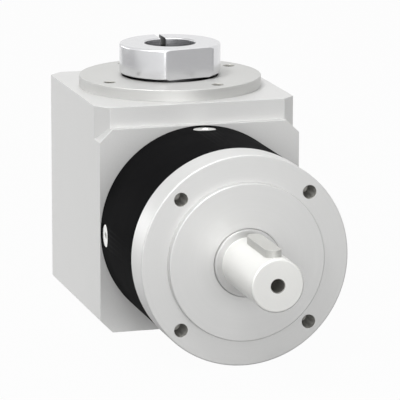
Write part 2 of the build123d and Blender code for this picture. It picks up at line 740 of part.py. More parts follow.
def sun_shaft():
    """The sun gear in one piece with its shaft, which crosses the housing to the rear bearing."""
    face = spur_face(sun_teeth, sun_tip_radius, sun_pitch_radius - dedendum, tooth_thinning)
    gear = extrude(Pos(0, 0, y_planet) * face, planet_width + sun_tooth_overrun)
    y_neck = y_planet + planet_width + sun_tooth_overrun
    y_seat = y_sun_bearing - circlip_thickness - circlip_land
    shaft = turned(
        (0, y_neck), (sun_neck_radius, y_neck), (sun_neck_radius, y_seat), (sun_seat_radius, y_seat),
        (sun_seat_radius, y_sun_bearing_end), (sun_collar_radius, y_sun_bearing_end),
        (sun_collar_radius, y_collar_end), (sun_seat_radius, y_collar_end),
        (sun_seat_radius, y_cover_front), (sun_rear_seat_radius, y_cover_front),
        (sun_rear_seat_radius, y_sun_shaft_end - rim_bevel),
        (sun_rear_seat_radius - rim_bevel, y_sun_shaft_end), (0, y_sun_shaft_end),
    )
    for low in (y_sun_bearing - circlip_thickness, input_axis_y - bevel_toe):
        floor = sun_seat_radius - shaft_ring_height / 2
        shaft -= ring(floor, sun_seat_radius + cut_overrun, low, low + circlip_thickness)
    return on_output_axis(gear + shaft) - sun_shaft_key()


def sun_shaft_key():
    middle = (y_collar_end + input_axis_y - bevel_toe) / 2
    key = parallel_key(gear_key_width, gear_key_height, gear_key_length)
    return Pos(0, middle, sun_seat_radius - gear_key_height / 2) * Rot(0, 0, 90) * key


def sun_shaft_rings():
    rings = [
        shaft_ring(sun_seat_radius, y_sun_bearing - circlip_thickness, circlip_thickness),
        shaft_ring(sun_seat_radius, input_axis_y - bevel_toe, circlip_thickness),
    ]
    return on_output_axis(Compound(rings))


def gear_key_channel(radius, start, end):
    """The straight keyway of a gear's bore, on +X, from one height to another."""
    return Pos(radius, 0, (start + end) / 2) * Box(gear_key_height, gear_key_width, end - start)


def output_bevel():
    """The bevel gear on the sun shaft, its cone apex on the crossing point of the axes."""
    gear = bevel_gear(sun_seat_radius, input_axis_y - y_collar_end)
    gear -= Rot(0, 0, 90) * gear_key_channel(sun_seat_radius, 0, input_axis_y - y_collar_end)
    return Pos(0, input_axis_y, 0) * Rot(90, 0, 0) * gear


def input_bevel():
    """The bevel gear on the input shaft, turned half a tooth so that it meshes with the other."""
    gear = Rot(0, 0, 180 / bevel_teeth) * bevel_gear(pinion_seat_radius, z_lower_bearing)
    return on_input_axis(gear - gear_key_channel(pinion_seat_radius, 0, z_lower_bearing))


def input_shaft_key():
    middle = (bevel_toe + z_lower_bearing) / 2
    key = parallel_key(gear_key_width, gear_key_height, gear_key_length)
    return on_input_axis(Pos(pinion_seat_radius - gear_key_height / 2, 0, middle) * Rot(0, 90, 0) * key)


def input_hub():
    """The hollow input shaft with its slit clamping hub and the seat of its bevel gear."""
    top_facet = hub_top_round * (1 - math.sqrt(0.5))
    blank = turned(
        (0, z_input_shaft_end), (pinion_seat_radius - rim_bevel, z_input_shaft_end),
        (pinion_seat_radius, z_input_shaft_end + rim_bevel), (pinion_seat_radius, z_lower_bearing),
        (input_neck_radius, z_lower_bearing), (input_neck_radius, z_hub_bottom),
        (hub_radius - hub_bottom_bevel, z_hub_bottom), (hub_radius, z_hub_bottom + hub_bottom_bevel),
        (hub_radius, z_hub_top - hub_top_round), (hub_radius - top_facet, z_hub_top - top_facet),
        (hub_radius - hub_top_round, z_hub_top),
        (input_bore_radius + input_bore_bevel, z_hub_top), (input_bore_radius, z_hub_top - input_bore_bevel),
        (input_bore_radius, z_input_bore_floor), (0, z_input_bore_floor),
    )
    groove = ring(pinion_seat_radius - shaft_ring_height / 2, pinion_seat_radius + cut_overrun,
                  z_pinion_ring, z_pinion_ring + pinion_ring_thickness)
    flat_cutter = Pos(hub_flat_distance + hub_radius, 0, z_hub_middle) * Box(
        2 * hub_radius, 3 * hub_radius, 2 * hub_height)
    flat = Rot(0, 0, hub_flat_direction) * flat_cutter
    slit = Pos(0, 1.5 * hub_radius, z_hub_middle) * Box(slit_width, 3 * hub_radius, hub_height)
    pocket = clamp_screw_seat() * rod(clamp_screw_head_radius + clamp_pocket_clearance, 0, hub_radius)
    thread = clamp_screw_seat() * rod(clamp_screw_radius, -clamp_screw_seat_offset - clamp_screw_grip, 0)
    return on_input_axis(blank - groove - flat - slit - pocket - thread) - input_shaft_key()


def clamp_screw_seat():
    """Where the clamping screw's head sits, beside the bore, with the screw pointing along -X."""
    return Pos(clamp_screw_seat_offset, clamp_screw_offset, z_hub_middle) * Rot(0, 90, 0)


def clamp_screw():
    length = clamp_screw_seat_offset + clamp_screw_grip - screw_tip_clearance
    screw = socket_screw(clamp_screw_radius, length, clamp_screw_head_radius, clamp_screw_head_height)
    return on_input_axis(clamp_screw_seat() * screw)


def input_flange():
    """The input centring disc with a spigot that carries the seal and both input bearings."""
    blank = turned(
        (input_neck_radius + shoulder_clearance, z_input_stop), (input_bearing_outer_radius, z_input_stop),
        (input_bearing_outer_radius, z_input_spigot), (input_spigot_radius, z_input_spigot),
        (input_spigot_radius, z_housing_top), (disc_radius, z_housing_top),
        (disc_radius, z_disc_top - disc_bevel), (disc_radius - disc_bevel, z_disc_top),
        (input_seal_outer_radius, z_disc_top), (input_seal_outer_radius, z_input_seal),
        (input_neck_radius + shoulder_clearance, z_input_seal),
    )
    groove = rod(input_bearing_outer_radius + circlip_groove_depth, z_input_circlip, z_lower_bearing)
    hole = turned(
        (0, z_housing_top), (disc_hole_radius, z_housing_top),
        (disc_hole_radius, z_disc_top - disc_hole_mouth_bevel),
        (disc_hole_radius + disc_hole_mouth_bevel, z_disc_top), (0, z_disc_top),
    )
    holes = around(disc_hole_count, disc_hole_circle_radius, hole, disc_hole_turn)
    return on_input_axis(blank - groove - holes)


def output_bearing_parts():
    """Both output bearings, set back to back so that they hold the shaft against tilting."""
    cup, cone, rollers = tapered_bearing()
    front = Pos(0, 0, y_rear_bearing) * Rot(180, 0, 0)
    rear = Pos(0, 0, y_rear_bearing)
    parts = {}
    for name, place in (("front", front), ("rear", rear)):
        parts[f"output_{name}_bearing_cup"] = on_output_axis(place * cup)
        parts[f"output_{name}_bearing_cone"] = on_output_axis(place * cone)
        parts[f"output_{name}_bearing_rollers"] = on_output_axis(Compound([place * one for one in rollers]))
    return parts


def ball_bearing_parts(name, lay, height, bore_radius, outer_radius, width):
    """The two nodes of a sealed ball bearing laid on its axis at a height."""
    outer, inner = ball_bearing(bore_radius, outer_radius, width)
    return {
        f"{name}_outer_ring": lay(Pos(0, 0, height) * outer),
        f"{name}_inner_ring": lay(Pos(0, 0, height) * inner),
    }


nodes = {
    "angle_housing": angle_housing(),
    "rear_cover": rear_cover(),
    "rear_cover_screws": cover_screws(),
    "ring_gear": ring_gear(),
    "ring_gear_screws": ring_screws(),
    "output_flange": output_flange(),
    "output_seal": on_output_axis(Pos(0, 0, y_seal) * shaft_seal(shoulder_radius, output_seal_outer_radius)),
    "output_circlip": on_output_axis(internal_circlip(output_bearing_outer_radius, y_output_circlip)),
    "output_shaft": output_shaft(),
    "shaft_key": shaft_key_seat() * parallel_key(key_width, key_height, key_length, key_edge_bevel),
    "planet_pins": planet_pins(),
    "planet_washers": planet_washers(),
    "carrier_plate": carrier_plate(),
    "carrier_screws": carrier_screws(),
    "sun_shaft": sun_shaft(),
    "sun_shaft_rings": sun_shaft_rings(),
    "sun_shaft_key": sun_shaft_key(),
    "sun_bearing_circlip": on_output_axis(internal_circlip(
        sun_front_bearing_outer_radius, y_sun_bearing - circlip_thickness)),
    "output_bevel_gear": output_bevel(),
    "input_bevel_gear": input_bevel(),
    "input_shaft_key": input_shaft_key(),
    "input_shaft_ring": on_input_axis(shaft_ring(pinion_seat_radius, z_pinion_ring, pinion_ring_thickness)),
    "input_clamp_hub": input_hub(),
    "clamp_screw": clamp_screw(),
    "input_flange": input_flange(),
    "input_circlip": on_input_axis(internal_circlip(input_bearing_outer_radius, z_input_circlip)),
    "input_seal": on_input_axis(Pos(0, 0, z_input_seal) * shaft_seal(input_neck_radius, input_seal_outer_radius)),
}
for i in range(planet_count):
    nodes[f"planet_gear_{i + 1}"] = planet_gear(i)
    nodes[f"planet_needles_{i + 1}"] = planet_needles(i)
nodes.update(output_bearing_parts())
nodes.update(ball_bearing_parts(
    "sun_front_bearing", on_output_axis, y_sun_bearing,
    sun_seat_radius, sun_front_bearing_outer_radius, sun_front_bearing_width))
nodes.update(ball_bearing_parts(
    "sun_rear_bearing", on_output_axis, y_cover_front,
    sun_rear_seat_radius, sun_rear_bearing_outer_radius, sun_rear_bearing_width))
for name, height in (("input_lower_bearing", z_lower_bearing), ("input_upper_bearing", z_upper_bearing)):
    nodes.update(ball_bearing_parts(
        name, on_input_axis, height, input_neck_radius, input_bearing_outer_radius, input_bearing_width))

os.makedirs("parts", exist_ok=True)
for name, shape in nodes.items():
    export_step(Compound(shape.solids()), f"parts/{name}.step")
print(len(nodes), "nodes written")
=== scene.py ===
"""Looks of a right angle planetary gearbox with a keyed output shaft and a clamping hub.

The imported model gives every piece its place. This script makes the visible pieces again with
rounded edges and cut threads, gives every piece its finish, and sets the floor, the lights and the
camera. Lengths are in millimetres until a mesh is made, and then in metres.
"""

import logging
import math
from collections.abc import Callable
from dataclasses import dataclass, field
from enum import Enum

import bmesh
import bpy
import numpy as np
from mathutils import Matrix, Quaternion, Vector
from numpy.typing import NDArray


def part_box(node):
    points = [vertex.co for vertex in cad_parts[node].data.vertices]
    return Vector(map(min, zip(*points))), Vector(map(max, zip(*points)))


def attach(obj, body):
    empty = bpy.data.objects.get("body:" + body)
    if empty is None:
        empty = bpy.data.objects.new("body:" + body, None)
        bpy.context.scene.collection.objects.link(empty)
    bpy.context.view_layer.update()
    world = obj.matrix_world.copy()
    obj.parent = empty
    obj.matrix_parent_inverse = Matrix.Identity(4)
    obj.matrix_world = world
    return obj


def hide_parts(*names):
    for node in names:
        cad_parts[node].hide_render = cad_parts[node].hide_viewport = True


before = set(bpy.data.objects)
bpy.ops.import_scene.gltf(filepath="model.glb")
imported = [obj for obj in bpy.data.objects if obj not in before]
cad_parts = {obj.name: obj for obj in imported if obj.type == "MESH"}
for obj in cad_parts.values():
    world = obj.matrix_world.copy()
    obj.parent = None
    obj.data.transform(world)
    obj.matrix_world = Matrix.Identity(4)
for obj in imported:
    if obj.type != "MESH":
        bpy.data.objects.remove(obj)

log = logging.getLogger("gearbox")
Array = NDArray[np.float64]
Mask = NDArray[np.bool_]

MM = 0.001
WHITE = (1.0, 1.0, 1.0, 1.0)
# Points nearer to each other than this are one, and shorter edges are dropped, in millimetres.
SAME_POINT = 0.002
SHORTEST_EDGE = 0.001
# Neighbouring triangles of the model that are flatter than this become one face, in degrees.
FLAT_ANGLE = 0.4
# A drill leaves a cone that is half as deep as the hole's radius.
DRILL_POINT = 0.5
# A rounding takes this share of the edge left for it, so that two arcs never meet.
ARC_SHARE = 0.95
# A face is past a plane when its middle is this far past it, in millimetres.
PAST = 0.05
# The marks on a drawn bar are this many times longer than they are wide.
DRAWN_LENGTH = 40
# The cloudy patches in the gloss are about 22 mm across.
PATCHES_PER_METRE = 45.0
# Nearly all of a noise pattern's values lie between these.
NOISE_LOW, NOISE_HIGH = 0.3, 0.7
# How far marks and patches raise and lower the roughness, as a share of it.
GLOSS_SPREAD = 0.12


class Axis(Enum):
    """The two axes that the gearbox's round pieces turn about."""

    OUTPUT = "output"
    INPUT = "input"


class Grain(Enum):
    """How a surface was made, which decides the run of its fine marks."""

    BLASTED = "blasted"
    TURNED = "turned"
    DRAWN = "drawn"


INPUT_AXIS_Y = (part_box("input_flange")[0].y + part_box("input_flange")[1].y) / 2 / MM


def on_axis(points: Array, axis: Axis) -> Array:
    """Lay points that were worked out about Z on one of the gearbox's axes.

    On the output axis a point (x, y, z) goes to (x, z, -y). On the input axis it moves along Y
    only.

    Args:
        points: Points in millimetres, in the last axis of the array.
        axis: The axis that the piece turns about.

    Returns:
        The points in the gearbox's own frame, in millimetres.
    """
    x, y, z = np.moveaxis(points, -1, 0)
    if axis is Axis.OUTPUT:
        return np.stack([x, z, -y], axis=-1)
    return np.stack([x, y + INPUT_AXIS_Y, z], axis=-1)


@dataclass(frozen=True)
class Surface:
    """A surface of four-sided faces.

    Attributes:
        points: The points in millimetres.
        quads: The numbers of each face's points.
        finishes: Which of the piece's finishes each face has.
    """

    points: Array
    quads: NDArray[np.int64]
    finishes: NDArray[np.int64]

    def finished(self, number: int) -> "Surface":
        """The same surface with one finish number on all its faces."""
        return Surface(self.points, self.quads, np.full(len(self.quads), number))

    def moved(self, points: Array) -> "Surface":
        """The same faces on other points."""
        return Surface(points, self.quads, self.finishes)

    def spun(self, angle: float) -> "Surface":
        """Turn the surface about Z.

        Args:
            angle: How far to turn it, in radians.

        Returns:
            The turned surface.
        """
        turn = np.array([
            [math.cos(angle), math.sin(angle), 0],
            [-math.sin(angle), math.cos(angle), 0],
            [0, 0, 1],
        ])
        return self.moved(self.points @ turn)

    @staticmethod
    def joined(parts: "list[Surface]") -> "Surface":
        """Put several surfaces in one, with their faces' numbers moved on.

        Args:
            parts: The surfaces to join.

        Returns:
            One surface with the points and faces of all.
        """
        starts = np.cumsum([0] + [len(part.points) for part in parts[:-1]])
        return Surface(
            np.concatenate([part.points for part in parts]),
            np.concatenate([part.quads + start for part, start in zip(parts, starts)]),
            np.concatenate([part.finishes for part in parts]),
        )


def grid(points: Array, closed_rows: bool = False) -> Surface:
    """Make faces between the neighbours of a grid of points.

    Args:
        points: An array of rows by columns of points.
        closed_rows: Whether the last row joins the first.

    Returns:
        The surface that the grid spans.
    """
    rows, columns = points.shape[:2]
    number = np.arange(rows * columns).reshape(rows, columns)
    u, v = np.meshgrid(
        np.arange(rows if closed_rows else rows - 1), np.arange(columns - 1), indexing="ij")
    next_u, next_v = (u + 1) % rows, v + 1
    corners = [number[u, v], number[next_u, v], number[next_u, next_v], number[u, next_v]]
    quads = np.stack(corners, axis=-1).reshape(-1, 4)
    return Surface(points.reshape(-1, 3), quads, np.zeros(len(quads), int))


def turns(count: int) -> Array:
    """Angles spread evenly over a full turn, in radians."""
    return np.arange(count) * 2 * np.pi / count


def lathed(radius: Array, height: Array, angles: Array) -> Surface:
    """Stand a table of radii round Z: at angle t the point is (radius cos t, radius sin t, height).

    Args:
        radius: The radii, in a row for each angle.
        height: The height of each column.
        angles: The angles of the rows, in radians.

    Returns:
        The surface, closed round the axis.
    """
    points = np.stack([
        radius * np.cos(angles)[:, None],
        radius * np.sin(angles)[:, None],
        np.broadcast_to(height, radius.shape),
    ], axis=-1)
    return grid(points, closed_rows=True)


def revolved(profile: Array, angles: Array) -> Surface:
    """Turn a profile about Z.

    Args:
        profile: Rows of (radius, height).
        angles: The angles of the steps round the axis, in radians.

    Returns:
        The surface of revolution, closed round the axis.
    """
    radius, height = profile[:, 0], profile[:, 1]
    return lathed(np.broadcast_to(radius, (len(angles), len(radius))), height, angles)


def rounded(corners: list[tuple[float, float, float]], steps: int = 5) -> Array:
    """Round the corners of an open outline with arcs.

    At a corner with half angle h, an arc of radius r has its centre r / sin h along the bisector
    and touches both sides r / tan h from the corner. The arc's points turn evenly from one
    touching point to the other. The first and the last corner stay sharp.

    Args:
        corners: Each corner as (radius, height, rounding).
        steps: Points on each arc.

    Returns:
        The outline's points as rows of (radius, height).
    """
    table = np.array(corners, float)
    place, size = table[:, :2], table[:, 2:]
    to_last = np.roll(place, 1, axis=0) - place
    to_next = np.roll(place, -1, axis=0) - place
    to_last[0], to_next[-1] = -to_next[0], -to_last[-1]
    size[[0, -1]] = 0
    to_last /= np.linalg.norm(to_last, axis=1, keepdims=True)
    to_next /= np.linalg.norm(to_next, axis=1, keepdims=True)
    bisector = to_last + to_next
    length = np.linalg.norm(bisector, axis=1, keepdims=True)
    straight = length < 1e-6
    # Half angles stay this far from nothing and from a straight line, so that no sine is zero.
    least = 1e-3
    half = np.arccos(np.clip(np.sum(to_last * to_next, axis=1, keepdims=True), -1, 1)) / 2
    half = np.where(straight, np.pi / 2 - least, np.maximum(half, least))
    inwards = np.where(straight, 0, bisector / np.where(straight, 1, length))
    centre = place + inwards * size / np.sin(half)
    first = place + to_last * size / np.tan(half) - centre
    last = place + to_next * size / np.tan(half) - centre
    sweep = np.pi - 2 * half
    share = np.linspace(0, 1, steps)[None, :, None]
    from_first = np.sin((1 - share) * sweep[:, None]) / np.sin(sweep[:, None])
    from_last = np.sin(share * sweep[:, None]) / np.sin(sweep[:, None])
    points = centre[:, None] + from_first * first[:, None] + from_last * last[:, None]
    return points.reshape(-1, 2)


@dataclass(frozen=True)
class Thread:
    """A metric thread cut in a hole's wall, in millimetres.

    Attributes:
        root_radius: How far out the grooves reach.
        crest_radius: The radius between the grooves.
        pitch: The length of one turn.
        depth: How far down the wall goes.
        mouth_radius: The radius of the bevelled mouth.
        steps: Points along one turn.
        flank: How steep the grooves' sides are.
        land: How wide the crests are.
    """

    root_radius: float
    crest_radius: float
    pitch: float
    depth: float
    mouth_radius: float
    steps: int = 8
    flank: float = 1.6
    land: float = 0.3

    def wall(self, angles: Array, floor: bool = True) -> Surface:
        """The wall of a threaded hole about Z, with its mouth at height 0 and going down.

        The radius is a trapezoid wave of depth / pitch - angle / 2 pi between crest and root, which
        fades to the crest radius over the first and the last pitch. A drilled cone closes the
        bottom.

        Args:
            angles: The angles of the wall's steps, in radians, as those of the mouth's edge.
            floor: Whether a cone closes the hole.

        Returns:
            The wall from the mouth's bevel to the bottom.
        """
        bevel = self.mouth_radius - self.crest_radius
        down = np.linspace(bevel, self.depth, int(self.steps * self.depth / self.pitch))
        phase = down[None, :] / self.pitch - angles[:, None] / (2 * np.pi)
        wave = np.abs(2 * (phase - np.floor(phase)) - 1)
        groove = np.clip(self.flank * wave - self.land, 0, 1)
        begun = np.clip((down - bevel) / self.pitch, 0, 1)
        left = np.clip((self.depth - down) / self.pitch, 0, 1)
        fade = begun * left
        cut = self.crest_radius + (self.root_radius - self.crest_radius) * groove * fade
        radius = np.insert(cut, 0, self.mouth_radius, axis=1)
        height = np.append(0.0, -down)
        if floor:
            radius = np.insert(radius, radius.shape[1], 0.0, axis=1)
            height = np.append(height, -self.depth - DRILL_POINT * self.crest_radius)
        return lathed(radius, height, angles)


@dataclass(frozen=True)
class DrilledFace:
    """A flat ring-shaped face with a circle of holes in it, about Z, in millimetres.

    Each hole stands in a sector of the ring. The sector's faces run from the hole's edge to the
    sector's outline: point (u, v) is (1 - v) times the edge's point plus v times the outline's
    point in the same direction from the hole's middle.

    Attributes:
        inner: The ring's inner radius.
        outer: The ring's outer radius.
        hole_circle: The radius of the circle that the holes stand on.
        hole_radius: The radius of a hole.
        count: The number of holes.
        start: The first hole's angle, in degrees.
        divisions: Steps round the ring.
        sector: Steps round one hole's sector.
        across: Steps from the inner to the outer radius.
        outwards: Points from a hole's edge to its sector's outline.
    """

    inner: float
    outer: float
    hole_circle: float
    hole_radius: float
    count: int
    start: float
    divisions: int = 192
    sector: int = 16
    across: int = 8
    outwards: int = 6

    def half_sector(self) -> float:
        """Half the angle of a hole's sector, in radians."""
        return math.pi * self.sector / self.divisions

    def sector_outline(self) -> Array:
        """Work out the outline of the first hole's sector.

        Returns:
            The closed outline's points in the plane: inner arc, side, outer arc, side.
        """
        middle, half = math.radians(self.start), self.half_sector()
        along = np.linspace(-half, half, self.sector + 1)[:-1] + middle
        out = np.linspace(self.inner, self.outer, self.across + 1)[:-1]
        low, high = np.full(self.across, middle - half), np.full(self.across, middle + half)
        radius = np.concatenate([
            np.full(self.sector, self.inner), out, np.full(self.sector, self.outer),
            self.outer + self.inner - out,
        ])
        angle = np.concatenate([along, high, 2 * middle - along, low])
        return np.stack([radius * np.cos(angle), radius * np.sin(angle)], axis=-1)

    def hole_middle(self) -> Array:
        """The middle of the first hole, in the plane."""
        turn = math.radians(self.start)
        return self.hole_circle * np.array([math.cos(turn), math.sin(turn)])

    def hole_angles(self) -> Array:
        """The directions of the edge's points from the hole's middle, in radians."""
        away = self.sector_outline() - self.hole_middle()
        return np.arctan2(away[:, 1], away[:, 0])

    def all_round(self, part: Surface) -> list[Surface]:
        """The first hole's part of the face, repeated at every hole."""
        return [part.spun(2 * np.pi * i / self.count) for i in range(self.count)]

    def face(self, height: float, directions: Array | None = None) -> Surface:
        """The flat face with its holes left open.

        Args:
            height: The face's height along its axis.
            directions: The directions of the edge's points, where the holes come from another face.

        Returns:
            The sectors with holes and the plain sectors between them.
        """
        outline = self.sector_outline()
        angles = self.hole_angles() if directions is None else directions
        circle = np.stack([np.cos(angles), np.sin(angles)], axis=-1)
        edge = self.hole_middle() + self.hole_radius * circle
        share = np.linspace(0, 1, self.outwards)[None, :, None]
        flat = (1 - share) * edge[:, None] + share * outline[:, None]
        holed = np.concatenate([flat, np.full(flat.shape[:2] + (1,), height)], axis=-1)
        half, plain_steps = self.half_sector(), self.divisions // self.count - self.sector + 1
        turn = np.linspace(half, 2 * np.pi / self.count - half, plain_steps)
        turn = math.radians(self.start) + turn
        radius = np.linspace(self.inner, self.outer, self.across + 1)
        x, y = np.cos(turn)[:, None] * radius, np.sin(turn)[:, None] * radius
        plain = np.stack([x, y, np.full(x.shape, height)], axis=-1)
        sectors = self.all_round(grid(holed, closed_rows=True))
        pairs = zip(sectors, self.all_round(grid(plain)))
        return Surface.joined([part for pair in pairs for part in pair])

    def walls(self, thread: Thread, height: float, upward: bool, floor: bool = True) -> Surface:
        """The threaded walls of all the holes, starting at the face, with the second finish.

        Args:
            thread: The thread to cut.
            height: The face's height along its axis.
            upward: Whether the holes go towards greater heights.
            floor: Whether the holes are blind.

        Returns:
            The holes' walls, whose mouths meet the face's open edges.
        """
        wall = thread.wall(self.hole_angles(), floor).finished(1)
        points = wall.points * np.array([1, 1, -1 if upward else 1])
        points = points + np.append(self.hole_middle(), height)
        return Surface.joined(self.all_round(wall.moved(points)))


def add_object(name: str, data: bpy.types.ID) -> bpy.types.Object:
    """Put a mesh, a lamp or a camera in the scene.

    Args:
        name: The object's name.
        data: The mesh, lamp or camera.

    Returns:
        The object, at the origin and unturned.
    """
    made = bpy.data.objects.new(name, data)
    bpy.context.scene.collection.objects.link(made)
    return made


def keep_flats(piece: bpy.types.Object) -> None:
    """Weigh a piece's shading by its faces' areas, so that faces stay flat beside eased edges.

    Args:
        piece: The piece, whose bevel comes before this.
    """
    flat = piece.modifiers.new("flat faces stay flat", "WEIGHTED_NORMAL")
    flat.mode = "FACE_AREA"
    flat.keep_sharp = True


def object_of(name: str, surface: Surface, axis: Axis,
              sharp_angle: float = 38.0) -> bpy.types.Object:
    """Make an object of a surface that was worked out about Z.

    Args:
        name: The object's name.
        surface: Its surface in millimetres.
        axis: The axis that it is laid on.
        sharp_angle: The angle above which its edges stay sharp, in degrees.

    Returns:
        The object, at the origin and unturned, with its place in its mesh.
    """
    mesh = bpy.data.meshes.new(name)
    mesh.from_pydata((on_axis(surface.points, axis) * MM).tolist(), [], surface.quads.tolist())
    mesh.polygons.foreach_set("material_index", surface.finishes.astype(np.int32))
    work = bmesh.new()
    work.from_mesh(mesh)
    bmesh.ops.remove_doubles(work, verts=work.verts, dist=SAME_POINT * MM)
    bmesh.ops.dissolve_degenerate(work, edges=work.edges, dist=SHORTEST_EDGE * MM)
    bmesh.ops.recalc_face_normals(work, faces=work.faces)
    work.to_mesh(mesh)
    work.free()
    mesh.shade_smooth()
    mesh.set_sharp_from_angle(angle=math.radians(sharp_angle))
    made = add_object(name, mesh)
    keep_flats(made)
    return made


def eased_copy(name: str, node: str, edge: float, sharp_angle: float = 28.0,
               ease_angle: float = 60.0) -> bpy.types.Object:
    """Copy a node of the model with its doubled points joined and its square edges eased.

    The bevel's width is the radius that tumbling or a file leaves on a machined edge.

    Args:
        name: The copy's name.
        node: The node to copy.
        edge: The width of the eased edges in millimetres, or 0 for none.
        sharp_angle: Edges sharper than this are shaded sharp, in degrees.
        ease_angle: Edges sharper than this are eased, in degrees.

    Returns:
        The copy, in the place of its node.
    """
    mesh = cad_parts[node].data.copy()
    mesh.name = name
    mesh.materials.clear()
    work = bmesh.new()
    work.from_mesh(mesh)
    bmesh.ops.remove_doubles(work, verts=work.verts, dist=SAME_POINT * MM)
    bmesh.ops.dissolve_limit(
        work, angle_limit=math.radians(FLAT_ANGLE), use_dissolve_boundaries=False,
        verts=work.verts, edges=work.edges)
    work.to_mesh(mesh)
    work.free()
    mesh.shade_smooth()
    mesh.set_sharp_from_angle(angle=math.radians(sharp_angle))
    made = add_object(name, mesh)
    if edge > 0:
        bevel = made.modifiers.new("eased edges", "BEVEL")
        bevel.width = edge * MM
        bevel.segments = 3
        bevel.limit_method = "ANGLE"
        bevel.angle_limit = math.radians(ease_angle)
        bevel.use_clamp_overlap = False
    keep_flats(made)
    return made


def refinish(piece: bpy.types.Object, number: int, inside: Callable[[Array], Mask]) -> None:
    """Give some faces of a piece another of its finishes.

    Args:
        piece: The piece.
        number: The finish number for these faces.
        inside: Says from the faces' middles, in millimetres, which faces get it.
    """
    faces = piece.data.polygons
    middles = np.empty(3 * len(faces))
    faces.foreach_get("center", middles)
    numbers = np.empty(len(faces), np.int32)
    faces.foreach_get("material_index", numbers)
    numbers[inside(middles.reshape(-1, 3) / MM)] = number
    faces.foreach_set("material_index", numbers)


def linear(hex_colour: str) -> tuple[float, float, float, float]:
    """Turn an sRGB hex colour to linear light.

    Args:
        hex_colour: The colour as six hex digits.

    Returns:
        Red, green, blue and an alpha of 1.
    """
    srgb = np.array([int(hex_colour[i:i + 2], 16) for i in (0, 2, 4)]) / 255
    light = np.where(srgb <= 0.04045, srgb / 12.92, ((srgb + 0.055) / 1.055) ** 2.4)
    return (float(light[0]), float(light[1]), float(light[2]), 1.0)


def add_node(tree: bpy.types.NodeTree, kind: str,
             links: dict[str, bpy.types.NodeSocket] | None = None,
             **settings: object) -> bpy.types.Node:
    """Add a node with its settings and its links.

    Args:
        tree: The node tree that gets it.
        kind: The node's type.
        links: The output linked to each input, which is given by its name or its number.
        settings: Values of named inputs, with spaces as underscores, or the node's own properties.

    Returns:
        The new node.
    """
    node = tree.nodes.new(kind)
    # Properties come first, because some decide which inputs the node has.
    for name, value in settings.items():
        if hasattr(node, name):
            setattr(node, name, value)
    for name, value in settings.items():
        if not hasattr(node, name):
            node.inputs[name.replace("_", " ")].default_value = value
    for name, output in (links or {}).items():
        target = node.inputs[int(name)] if name.isdigit() else node.inputs[name]
        tree.links.new(output, target)
    return node


